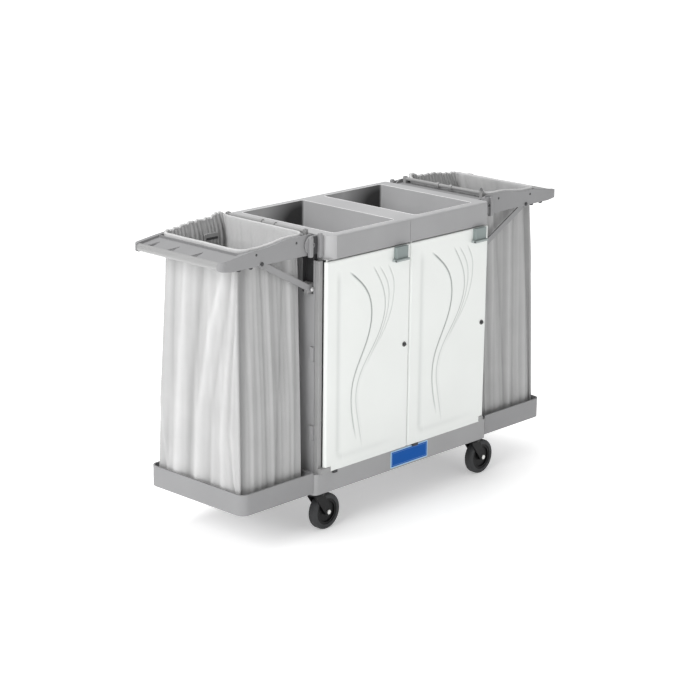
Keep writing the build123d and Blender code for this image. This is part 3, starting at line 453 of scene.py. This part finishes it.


# --- Small mouldings ---------------------------------------------------------------------------
# Lugs on the ears guide the frames, and a corner block protects the right door's foot. Dark blocks
# on the left ear and under the doors are painted shadow in the gaps there. All are small soft-edged blocks.
def soft_block(low, high, squareness=0.22, along=18, around=36):
    """A block with soft edges: a superellipsoid, whose sines and cosines are raised to a small power."""
    rise = np.linspace(-math.pi / 2 + 1e-3, math.pi / 2 - 1e-3, along)[:, None]
    turn = (2 * math.pi * np.arange(around) / around + math.pi / around)[None, :]

    def eased(wave):
        return np.sign(wave) * np.abs(wave) ** squareness

    x = eased(np.cos(rise)) * eased(np.cos(turn))
    y = eased(np.cos(rise)) * eased(np.sin(turn))
    z = eased(np.sin(rise)) + 0 * turn
    unit = np.stack([x, y, z], -1).reshape(-1, 3)
    centre = (np.array(low) + np.array(high)) / 2
    half = (np.array(high) - np.array(low)) / 2
    points = np.concatenate([centre + half * unit, [centre + half * (0, 0, -1)], [centre + half * (0, 0, 1)]])
    foot, crown = len(points) - 2, len(points) - 1
    ring = np.arange(around)
    following = (ring + 1) % around
    base = (along - 1) * around
    bottom = np.stack([following, ring, np.full(around, foot), np.full(around, foot)], -1)
    top = np.stack([base + ring, base + following, np.full(around, crown), np.full(around, crown)], -1)
    return points, grid_faces(along, around, wrap=True), np.concatenate([bottom, top])[:, :3]


def put_blocks(name, spans, body, material):
    """One piece made of soft blocks on one body, each block closed at both ends."""
    points, quads, ends, count = [], [], [], 0
    for low, high in spans:
        block, sides, caps = soft_block(low, high)
        points.append(block)
        quads.append(sides + count)
        ends.append(caps + count)
        count += len(block)
    mesh = bpy.data.meshes.new(name)
    faces = [tuple(face) for face in np.concatenate(quads).tolist() + np.concatenate(ends).tolist()]
    mesh.from_pydata(np.concatenate(points).tolist(), [], faces)
    mesh.polygons.foreach_set("use_smooth", np.ones(len(faces), dtype=bool))
    mesh.materials.append(material)
    piece = bpy.data.objects.new(name, mesh)
    bpy.context.collection.objects.link(piece)
    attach(piece, body)
    return piece


def both_ways(side, x_span, y_span, z_span):
    """A block's corners on one side of the cart, front and rear, in rising order."""
    spans = []
    for facing in (-1, 1):
        xs = sorted((side * x_span[0], side * x_span[1]))
        ys = sorted((mid_y + facing * y_span[0], mid_y + facing * y_span[1]))
        spans.append(((xs[0], ys[0], z_span[0]), (xs[1], ys[1], z_span[1])))
    return spans


for side, name in ((-1, "left"), (1, "right")):
    lugs = both_ways(side, (0.4435, 0.4570), (0.2070, 0.2205), (0.950, 1.0185))
    lugs += both_ways(side, (0.4025, 0.4165), (0.2100, 0.2225), (0.944, 1.0240))
    put_blocks(f"ear_lugs_{name}", lugs, "root", grey_holder)

# Painted shadow: a thin dark block on the left ear, front and rear, stands for the shaded slot there.
ear_slot_shadows = both_ways(-1, (0.4180, 0.4425), (0.2095, 0.2135), (0.958, 1.0160))
put_blocks("ear_slot_shadow_left", ear_slot_shadows, "root", dark)
# Painted shadow: dark blocks under the doors fill the gaps between their feet and the base.
base_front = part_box("base_chassis")[0][1]
marks = [((x, base_front - 0.0095, 0.2035), (x + wide, base_front + 0.0035, 0.2130))
         for x, wide in ((-0.361, 0.018), (0.035, 0.026))]
put_blocks("door_gap_shadows", marks, "root", dark)
door_low, door_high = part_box("door_2")
put_blocks("door_corner_block", [((door_high[0] - 0.021, door_low[1] - 0.003, door_low[2] + 0.001),
                                  (door_high[0] + 0.0002, door_low[1] + 0.004, door_low[2] + 0.020))],
           "door_2", light_grey)

# --- Linen bags --------------------------------------------------------------------------------
# Each bag is a sewn sack of grey woven polyester. It hangs inside the folding frame with its mouth
# turned over a rim, stands in its platform, and is taken up in broad folds by its own weight.
bag_columns = 480
bag_rows = 100
end_fold_depth = 0.58
end_fold_width = 0.72
mouth_roll = 0.0062
cloth_thickness = 0.0012
platform_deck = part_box("platform_left")[0][2] + 0.008


def soft_rectangle(share, half_x, half_y, corner):
    """Points and outward directions round a rectangle with rounded corners.

    A point runs round the sharp rectangle at an even rate. It is drawn back to the nearest point of
    a rectangle smaller by the corner radius, and pushed out from there by that radius.
    """
    around = (share % 1.0) * 4
    leg = np.floor(around)
    along = 2 * (around - leg) - 1
    x = np.select([leg == 0, leg == 1, leg == 2], [-along, -np.ones_like(along), along], 1.0) * half_x
    y = np.select([leg == 0, leg == 1, leg == 2], [-np.ones_like(along), along, np.ones_like(along)], -along)
    y = y * half_y
    core_x = np.clip(x, -half_x + corner, half_x - corner)
    core_y = np.clip(y, -half_y + corner, half_y - corner)
    out_x, out_y = x - core_x, y - core_y
    length = np.maximum(np.hypot(out_x, out_y), 1e-9)
    return core_x + corner * out_x / length, core_y + corner * out_y / length, out_x / length, out_y / length


def ridge(distance, width):
    """A soft ridge or furrow: a bell of the distance from its line."""
    return np.exp(-((distance / width) ** 2))


def fold_line(height, marks):
    """Where a fold's line lies across a face at each height share, eased between stops."""
    levels = np.array([stop[0] for stop in marks])
    places = np.array([stop[1] for stop in marks])
    return np.interp(height, levels, places)


end_face_folds = (
    # width, push in millimetres, and (height share, place across the face from far to near) stops
    (0.060, 9.0, ((0.0, 0.22), (0.5, 0.27), (1.0, 0.33))),
    (0.060, -9.0, ((0.0, 0.35), (0.45, 0.41), (1.0, 0.54))),
    (0.055, 10.0, ((0.0, 0.48), (0.35, 0.51), (0.70, 0.66), (0.88, 0.80), (1.0, 0.84))),
    (0.045, -6.5, ((0.0, 0.60), (0.40, 0.66), (0.75, 0.84), (1.0, 0.95))),
    (0.040, 5.5, ((0.0, 0.80), (0.25, 0.78), (0.6, 0.88), (1.0, 0.97))),
    (0.022, -6.0, ((0.0, 0.97), (0.10, 0.90), (0.30, 0.86), (0.55, 0.90), (0.7, 0.95), (1.0, 0.99))),
    (0.014, 6.5, ((0.0, 0.985), (0.10, 0.93), (0.30, 0.905), (0.55, 0.945), (0.7, 0.985), (1.0, 1.0))),
    (0.060, -7.0, ((0.0, 0.09), (0.4, 0.14), (1.0, 0.14))),
    (0.022, 5.0, ((0.0, 0.15), (0.2, 0.07), (0.35, 0.02))),
)
side_face_folds = (
    # the same, across the near side from the outer end to the cabinet
    (0.055, -9.0, ((0.0, 0.03), (0.4, 0.06), (0.8, 0.10), (1.0, 0.12))),
    (0.045, 3.0, ((0.0, 0.20), (0.5, 0.20), (1.0, 0.24))),
    (0.022, -2.6, ((0.0, 0.44), (0.5, 0.42), (0.8, 0.40), (1.0, 0.36))),
    (0.045, 3.0, ((0.0, 0.52), (0.5, 0.50), (1.0, 0.44))),
    (0.026, -2.4, ((0.0, 0.56), (0.5, 0.66), (1.0, 0.76))),
    (0.050, 2.8, ((0.0, 0.74), (0.5, 0.80), (1.0, 0.86))),
    (0.030, -2.4, ((0.0, 0.88), (0.5, 0.92), (1.0, 0.97))),
)


def bag_shell(side):
    """The sack as one sheet: a floor, four walls and a mouth rolled outward over the rim.

    Rows run from the middle of the floor to its edge, up the wall, and half round a small roll at the
    mouth. Each row is a soft rectangle whose size eases from the mouth to the foot. Folds push the
    wall along its outward direction, and pleats gather the far side below the mouth. The fold value
    returned with the points is painted light and shade: each side is lighter or darker by where the
    light falls on it, fold ridges are lighter and furrows darker.
    """
    cad_low, cad_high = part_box("bag_left" if side < 0 else "bag_right")
    foot_z, mouth_z = platform_deck + 0.003, cad_high[2]
    foot_x = max(abs(cad_low[0]), abs(cad_high[0])) - 0.0005
    floor_rows, roll_rows = 12, 9
    wall_rows = bag_rows - floor_rows - roll_rows
    share = (np.arange(bag_columns) / bag_columns)[None, :]
    level = np.concatenate([np.zeros(floor_rows), np.linspace(0, 1, wall_rows), np.ones(roll_rows)])[:, None]
    spread = np.concatenate([np.linspace(0, 1, floor_rows, endpoint=False), np.ones(wall_rows + roll_rows)])
    turn = np.concatenate([np.zeros(bag_rows - roll_rows), np.linspace(0.35, 4.0, roll_rows)])[:, None]
    inner_x = 0.468 - 0.010 * level
    outer_x = np.interp(level, (0, 0.925, 0.965, 1), (foot_x, 0.736, 0.732, 0.7285))
    half_x = (outer_x - inner_x) / 2
    half_y = np.interp(level, (0, 0.925, 0.965, 1), (0.2025, 0.170, 0.176, 0.185))
    corner = 0.012 + 0.020 * np.clip((level - 0.93) / 0.07, 0, 1)
    flat_x, flat_y, out_x, out_y = soft_rectangle(share, half_x, half_y, corner)
    height = level * (mouth_z - foot_z)
    ease_in = np.clip(height / 0.05, 0, 1)
    ease_top = np.clip((1.0 - level) / 0.05, 0, 1)
    across = np.clip((flat_y / half_y + 1) / 2, 0, 1)
    across_end = 1 - across
    along_side = (1 - flat_x / half_x) / 2
    on_end = np.clip(-out_x, 0, 1) ** 2
    on_near = np.clip(-out_y, 0, 1) ** 2
    on_far = np.clip(out_y, 0, 1) ** 2
    on_cabinet = np.clip(out_x, 0, 1) ** 2
    push = np.zeros(flat_x.shape)
    for width, rise, marks in end_face_folds:
        top = marks[-1][0]
        fade = np.clip((top + 0.12 - level) / 0.12, 0, 1)
        away = across_end - fold_line(level, marks)
        push = push + on_end * fade * end_fold_depth * rise * ridge(away, end_fold_width * width)
    for width, rise, marks in side_face_folds:
        push = push + on_near * rise * ridge(1 - along_side - fold_line(level, marks), width)
    wander = 0.6 * np.sin(2.1 * level + 1.0) + 0.35 * np.sin(5.3 * level + 0.4)
    for count, rise, phase in ((7, 1.0, 0.3), (23, 0.75, 1.7), (37, 0.55, 4.1), (61, 0.40, 2.6)):
        push = push + rise * np.sin(2 * math.pi * count * share + phase + wander * count / 16)
    push = push + 2.5 * on_far * np.sin(2 * math.pi * 19 * along_side + 1.3 * wander)
    gather = np.clip((level - 0.62) / 0.30, 0, 1)
    pleats = np.sin(2 * math.pi * 17 * along_side + 2.2 * np.sin(7 * along_side) + 2.0 * wander)
    push = push + gather * on_far * (3.6 * pleats + 1.6 * np.sin(2 * math.pi * 43 * along_side + 3 * wander))
    tuck = np.exp(-(((along_side - 0.07) / 0.055) ** 2)) * on_far
    tuck = tuck + on_cabinet * np.clip((across - 0.9) / 0.1, 0, 1)
    push = push + gather * tuck * 5.0 * np.sin(2 * math.pi * 26 * along_side + 9 * across)
    # Painted light and shade: the near and far sides are darkened, the cabinet side and the right bag's end
    # lightened, and each fold is lightened on its ridge and darkened in its furrow.
    fold = 0.44 - 0.20 * on_near + 0.02 * on_end - 0.16 * on_far + 0.56 * on_cabinet
    fold = fold + 0.30 * on_end * (side > 0)
    fold = np.clip(fold + push / (24.0 - 4.0 * on_far), 0, 1)
    belly = 4.0 * np.sin(math.pi * np.clip(level, 0, 1)) * (on_near * 0.6 + on_end)
    push = (push * (0.35 + 0.65 * ease_in) * (0.3 + 0.7 * ease_top) + belly - 3.0) / 1000.0
    x = (flat_x + out_x * push) * spread[:, None]
    y = (flat_y + out_y * push) * spread[:, None]
    lift = np.interp(np.abs(side) * (inner_x + outer_x) / 2 + x * -1, (0.45, 0.545, 0.633, 0.74),
                     (0.020, 0.018, 0.007, 0.0035))
    crest = 0.003 * np.sin(2 * math.pi * 7 * share) + 0.002 * np.sin(2 * math.pi * 31 * share + 1.0)
    crest = crest * on_far
    heap = on_far * (0.004 + 0.010 * np.exp(-(((along_side - 0.06) / 0.09) ** 2)))
    near_mouth = np.clip((level - 0.86) / 0.14, 0, 1)
    z = foot_z + height + (lift + (crest + heap + 0.0015 * pleats * on_far)) * near_mouth
    x = x + out_x * mouth_roll * (1 - np.cos(turn)) * 0.9
    y = y + out_y * mouth_roll * (1 - np.cos(turn)) * 0.9
    z = z + mouth_roll * np.sin(turn) * (turn < math.pi) - (turn > math.pi) * (turn - math.pi) * 0.014
    centre_x = (inner_x + outer_x) / 2
    points = np.stack([side * (centre_x - x), mid_y + y, z], -1)
    faces = grid_faces(bag_rows, bag_columns, wrap=True)
    # The rolled mouth gets one even level of painted light and shade.
    fold = np.where(turn > 0, 0.62, fold)
    return points.reshape(-1, 3), faces, fold


def bag_cloth():
    """Plain woven polyester: two crossing threads as bump, a soft sheen and uneven dye."""
    material = bpy.data.materials.new("bag_cloth")
    material.use_nodes = True
    tree = material.node_tree
    shader = tree.nodes["Principled BSDF"]
    place = tree.nodes.new("ShaderNodeTexCoord").outputs["Object"]
    cloud = node_link(tree, "ShaderNodeTexNoise", Vector=place, Scale=9.0, Detail=5.0)
    tone = node_link(tree, "ShaderNodeMapRange", Value=cloud.outputs["Fac"], From_Min=0.3, From_Max=0.7,
                     To_Min=0.955, To_Max=1.045)
    shade = node_link(tree, "ShaderNodeMixRGB", Fac=1.0, Color1=(0.50, 0.50, 0.50, 1.0),
                      Color2=tone.outputs["Result"])
    shade.blend_type = "MULTIPLY"
    # Painted light and shade: the fold attribute scales the cloth colour from 0.6 to 1.42 times, by side and
    # by fold.
    furrow = node_link(tree, "ShaderNodeAttribute")
    furrow.attribute_name = "fold"
    hollow = node_link(tree, "ShaderNodeMapRange", Value=furrow.outputs["Fac"], To_Min=0.60, To_Max=1.42)
    folded = node_link(tree, "ShaderNodeMixRGB", Fac=1.0, Color1=shade.outputs["Color"],
                       Color2=hollow.outputs["Result"])
    folded.blend_type = "MULTIPLY"
    tree.links.new(folded.outputs["Color"], shader.inputs["Base Color"])
    threads = []
    for direction in ("X", "Y", "Z"):
        wave = node_link(tree, "ShaderNodeTexWave", Vector=place, Scale=260.0, Distortion=0.6, Detail=1.0)
        wave.bands_direction = direction
        threads.append(wave.outputs["Fac"])
    pair = node_link(tree, "ShaderNodeMath")
    tree.links.new(threads[0], pair.inputs[0])
    tree.links.new(threads[1], pair.inputs[1])
    weave = node_link(tree, "ShaderNodeMath")
    tree.links.new(pair.outputs["Value"], weave.inputs[0])
    tree.links.new(threads[2], weave.inputs[1])
    crease = node_link(tree, "ShaderNodeTexNoise", Vector=place, Scale=34.0, Detail=6.0, Roughness=0.6)
    rough_bump = node_link(tree, "ShaderNodeBump", Strength=0.35, Distance=0.004,
                           Height=crease.outputs["Fac"])
    bump = node_link(tree, "ShaderNodeBump", Strength=0.25, Distance=0.0004, Height=weave.outputs["Value"],
                     Normal=rough_bump.outputs["Normal"])
    tree.links.new(bump.outputs["Normal"], shader.inputs["Normal"])
    shader.inputs["Roughness"].default_value = 0.75
    shader.inputs["Specular IOR Level"].default_value = 0.25
    shader.inputs["Sheen Weight"].default_value = 0.12
    shader.inputs["Sheen Roughness"].default_value = 0.4
    return material


cloth = bag_cloth()
for side, name in ((-1, "left"), (1, "right")):
    points, faces, fold = bag_shell(side)
    if side > 0:
        faces = faces[:, ::-1]
    bag = build_mesh(f"linen_bag_{name}", points, faces, cloth, ("fold", fold))
    thick = bag.modifiers.new("cloth_thickness", "SOLIDIFY")
    thick.thickness = cloth_thickness
    thick.offset = -1.0
    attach(bag, "root")
    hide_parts(f"bag_{name}")
    welt_y = mid_y + 0.1690
    welt_x = sorted((side * 0.494, side * 0.562))
    slit_x = sorted((side * 0.502, side * 0.554))
    welt_span = ((welt_x[0], welt_y - 0.0045, 0.944), (welt_x[1], welt_y + 0.0045, 0.980))
    slit_span = ((slit_x[0], welt_y - 0.0062, 0.9585), (slit_x[1], welt_y, 0.9665))
    welt = put_blocks(f"handle_welt_{name}", [welt_span], "root", cloth)
    slit = put_blocks(f"handle_slit_{name}", [slit_span], "root", dark)
    for trim in (welt, slit):
        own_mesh(trim)
    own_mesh(bag)


# --- Name plate --------------------------------------------------------------------------------
# A plain blue printed plate with a pale edge and a thin inner line, glued to the base.
plate_low, plate_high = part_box("name_plate")


def plate_print():
    """Blue print whose edge bands are steps of the distance in from the plate's outline."""
    material = moulded("plate_print", (0.001, 0.085, 0.37), 0.5, grain=400.0, grain_depth=0.01,
                       edge=0.0004, specular=0.1)
    tree = material.node_tree
    shader = tree.nodes["Principled BSDF"]
    blue = shader.inputs["Base Color"].links[0].from_socket
    place = tree.nodes.new("ShaderNodeTexCoord").outputs["Object"]
    split = node_link(tree, "ShaderNodeSeparateXYZ", Vector=place)
    inward = []
    for axis, centre, half in (("X", (plate_low[0] + plate_high[0]) / 2, (plate_high[0] - plate_low[0]) / 2),
                               ("Z", (plate_low[2] + plate_high[2]) / 2, (plate_high[2] - plate_low[2]) / 2)):
        offset = tree.nodes.new("ShaderNodeMath")
        offset.operation = "SUBTRACT"
        tree.links.new(split.outputs[axis], offset.inputs[0])
        offset.inputs[1].default_value = centre
        away = tree.nodes.new("ShaderNodeMath")
        away.operation = "ABSOLUTE"
        tree.links.new(offset.outputs["Value"], away.inputs[0])
        inner = tree.nodes.new("ShaderNodeMath")
        inner.operation = "SUBTRACT"
        inner.inputs[0].default_value = half
        tree.links.new(away.outputs["Value"], inner.inputs[1])
        inward.append(inner.outputs["Value"])
    nearest = tree.nodes.new("ShaderNodeMath")
    nearest.operation = "MINIMUM"
    tree.links.new(inward[0], nearest.inputs[0])
    tree.links.new(inward[1], nearest.inputs[1])
    bands = tree.nodes.new("ShaderNodeValToRGB")
    bands.color_ramp.interpolation = "CONSTANT"
    bands.color_ramp.elements[0].position = 0.0
    bands.color_ramp.elements[0].color = (1.0, 1.0, 1.0, 1.0)
    bands.color_ramp.elements[1].position = 0.30
    bands.color_ramp.elements[1].color = (0.0, 0.0, 0.0, 1.0)
    line = bands.color_ramp.elements.new(0.62)
    line.color = (0.30, 0.30, 0.30, 1.0)
    plain = bands.color_ramp.elements.new(0.74)
    plain.color = (0.0, 0.0, 0.0, 1.0)
    scaled = node_link(tree, "ShaderNodeMapRange", Value=nearest.outputs["Value"], From_Min=0.0,
                       From_Max=0.012)
    tree.links.new(scaled.outputs["Result"], bands.inputs["Fac"])
    edged = node_link(tree, "ShaderNodeMixRGB", Fac=bands.outputs["Color"], Color1=blue,
                      Color2=(0.42, 0.62, 0.80, 1.0))
    tree.links.new(edged.outputs["Color"], shader.inputs["Base Color"])
    return material


finish_node("name_plate", plate_print())

# --- Tray bins -----------------------------------------------------------------------------------
# The bins are part of the tray's moulding. Their far right corners are darkened with painted shade, and a
# small rolled lip runs round each mouth, coloured pale as a painted highlight.
tray_finish = moulded("tray_moulding", (0.44, 0.44, 0.445), 0.46)
tray_tree = tray_finish.node_tree
tray_shader = tray_tree.nodes["Principled BSDF"]
tray_colour = tray_shader.inputs["Base Color"].links[0].from_socket
tray_place = tray_tree.nodes.new("ShaderNodeTexCoord").outputs["Object"]
geometry = tray_tree.nodes.new("ShaderNodeNewGeometry")
facing = node_link(tray_tree, "ShaderNodeSeparateXYZ", Vector=geometry.outputs["Normal"])
forward = node_link(tray_tree, "ShaderNodeMapRange", Value=facing.outputs["Y"], From_Min=-0.4, From_Max=-0.9)
for bin_corner_x in (-0.068, 0.330):
    pit = node_link(tray_tree, "ShaderNodeMapping", Vector=tray_place,
                    Location=(-bin_corner_x / 0.20, -(mid_y + 0.200) / 0.10, -0.925 / 0.17),
                    Scale=(1 / 0.20, 1 / 0.10, 1 / 0.17))
    ball = tray_tree.nodes.new("ShaderNodeTexGradient")
    ball.gradient_type = "SPHERICAL"
    tray_tree.links.new(pit.outputs["Vector"], ball.inputs["Vector"])
    depth = node_link(tray_tree, "ShaderNodeMapRange", Value=ball.outputs["Fac"], From_Min=0.0, From_Max=0.6,
                      To_Min=0.0, To_Max=0.96)
    share = node_link(tray_tree, "ShaderNodeMixRGB", Fac=1.0, Color1=depth.outputs["Result"],
                      Color2=forward.outputs["Result"])
    share.blend_type = "MULTIPLY"
    dusk = node_link(tray_tree, "ShaderNodeMixRGB", Fac=share.outputs["Color"], Color1=tray_colour,
                     Color2=(0.012, 0.012, 0.012, 1.0))
    tray_colour = dusk.outputs["Color"]
tray_tree.links.new(tray_colour, tray_shader.inputs["Base Color"])
finish_node("top_tray", tray_finish)


def rolled_ring(centre, half_x, half_y, corner, radius, along=360, around=10):
    """A round bead swept along a soft rectangle: each point is the path plus radius times its turn."""
    share = (np.arange(along) / along)[:, None]
    turn = 2 * math.pi * np.arange(around) / around
    path_x, path_y, out_x, out_y = soft_rectangle(share, half_x, half_y, corner)
    x = centre[0] + path_x + out_x * radius * np.cos(turn)
    y = centre[1] + path_y + out_y * radius * np.cos(turn)
    z = centre[2] + radius * np.sin(turn) + 0 * x
    points = np.stack([x, y, z], -1)
    row, column = np.meshgrid(np.arange(along), np.arange(around), indexing="ij")
    next_row, next_column = (row + 1) % along, (column + 1) % around
    faces = np.stack([row * around + column, row * around + next_column, next_row * around + next_column,
                      next_row * around + column], -1).reshape(-1, 4)
    return points.reshape(-1, 3), faces


# The lip's pale colour is a painted highlight along the bins' edges; the strut caps use the same pale finish.
lip_light = moulded("lip_highlight_and_cap_pale", (0.74, 0.74, 0.74), 0.3)
for side, name in ((-1, "left"), (1, "right")):
    points, faces = rolled_ring((side * 0.19875, mid_y, 1.0135), 0.1480, 0.2165, 0.013, 0.0014)
    lip = build_mesh(f"bin_lip_{name}", points, faces, lip_light)
    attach(lip, "root")


# --- Screws, plugs and buttons -----------------------------------------------------------------------
# Black-finished screw heads and plugs close the holes in the arms, ears and rail blocks, and two
# dark buttons under each arm take the bag's cord.
def turned_knob(centre, axis, radius, height, squareness=2.6, along=10, around=20):
    """A domed button about an axis: a superellipse profile turned round, with both poles closed."""
    rise = np.linspace(0, 1, along)[:, None]
    turn = (2 * math.pi * np.arange(around) / around)[None, :]
    wide = np.concatenate([[[0.0]], radius * (1 - rise ** squareness) ** (1 / squareness)])
    high = np.concatenate([[[0.0]], height * rise])
    local = np.stack([wide * np.cos(turn), wide * np.sin(turn), high + 0 * turn], -1).reshape(-1, 3)
    frame_turn = np.array(Vector(axis).to_track_quat("Z", "Y").to_matrix())
    points = local @ frame_turn.T + np.array(centre)
    return points, grid_faces(along + 1, around, wrap=True)


def put_knobs(name, places, axis, radius, height, body, material):
    """One piece made of like buttons on one body."""
    meshes = [turned_knob(place, axis, radius, height) for place in places]
    count = len(meshes[0][0])
    points = np.concatenate([mesh[0] for mesh in meshes])
    faces = np.concatenate([mesh[1] + count * i for i, mesh in enumerate(meshes)])
    piece = build_mesh(name, points, faces, material)
    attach(piece, body)
    return piece


for side, name in ((-1, "left"), (1, "right")):
    arm_screws = [(side * x, mid_y + facing * 0.2038, z) for x, z in ((0.682, 0.994), (0.505, 1.004))
                  for facing in (-1, 1)]
    front = [place for place in arm_screws if place[1] < mid_y]
    rear = [place for place in arm_screws if place[1] > mid_y]
    arm = f"holder_{name}"
    put_knobs(f"arm_screws_front_{name}", front, (0, -1, 0), 0.0042, 0.0016, arm, dark)
    put_knobs(f"arm_screws_rear_{name}", rear, (0, 1, 0), 0.0042, 0.0016, arm, dark)
    under = [(side * x, mid_y + facing * 0.196, z) for x, z in ((0.752, 0.9560), (0.700, 0.9555))
             for facing in (-1, 1)]
    put_knobs(f"cord_buttons_{name}", under, (0, 0, -1), 0.0075, 0.0060, arm, dark)
    rail_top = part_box(f"rail_{name}")[1][2]
    plugs = [(side * 0.440, mid_y + facing * 0.180, rail_top - 0.0004) for facing in (-1, 1)]
    put_knobs(f"rail_plugs_{name}", plugs, (0, 0, 1), 0.0045, 0.0012, "root", dark)
    for end, facing in (("front", -1), ("rear", 1)):
        pivots = [(side * 0.659, mid_y + facing * 0.2055, 0.961)]
        put_knobs(f"strut_screw_{end}_{name}", pivots, (0, facing, 0), 0.0070, 0.0030, arm, dark)
    strut_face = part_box(f"struts_{name}")[0][1]
    caps = [(side * 0.433, strut_face, 0.840)]
    put_knobs(f"strut_cap_{name}", caps, (0, -1, 0), 0.0075, 0.0003, f"struts_{name}", lip_light)
    ears = [(side * 0.440, mid_y - 0.2148, 0.989)]
    put_knobs(f"ear_bolt_{name}", ears, (0, -1, 0), 0.0055, 0.0022, "root", dark)

for number in (1, 2):
    lock_low, lock_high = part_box(f"door_lock_{number}")
    lock_x = (lock_low[0] + lock_high[0]) / 2
    key_z = lock_high[2] - (lock_high[0] - lock_low[0]) / 2
    barrel = [(lock_x, lock_low[1] - 0.0002, key_z)]
    put_knobs(f"lock_barrel_{number}", barrel, (0, -1, 0), 0.0066, 0.0060, f"lock_{number}", dark)
    glint = [(lock_x + 0.0050, lock_low[1] - 0.0020, key_z - 0.0045)]
    put_knobs(f"lock_glint_{number}", glint, (0.4, -1, 0.2), 0.0036, 0.0062, f"lock_{number}", zinc)
    slide_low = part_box(f"latch_slide_{number}")[0]
    slide_end = [(slide_low[0] + 0.0002, (slide_low[1] + 0.0045), slide_low[2] + 0.0042)]
    put_knobs(f"latch_end_{number}", slide_end, (-1, 0, 0), 0.0036, 0.0012, f"latch_{number}", dark)
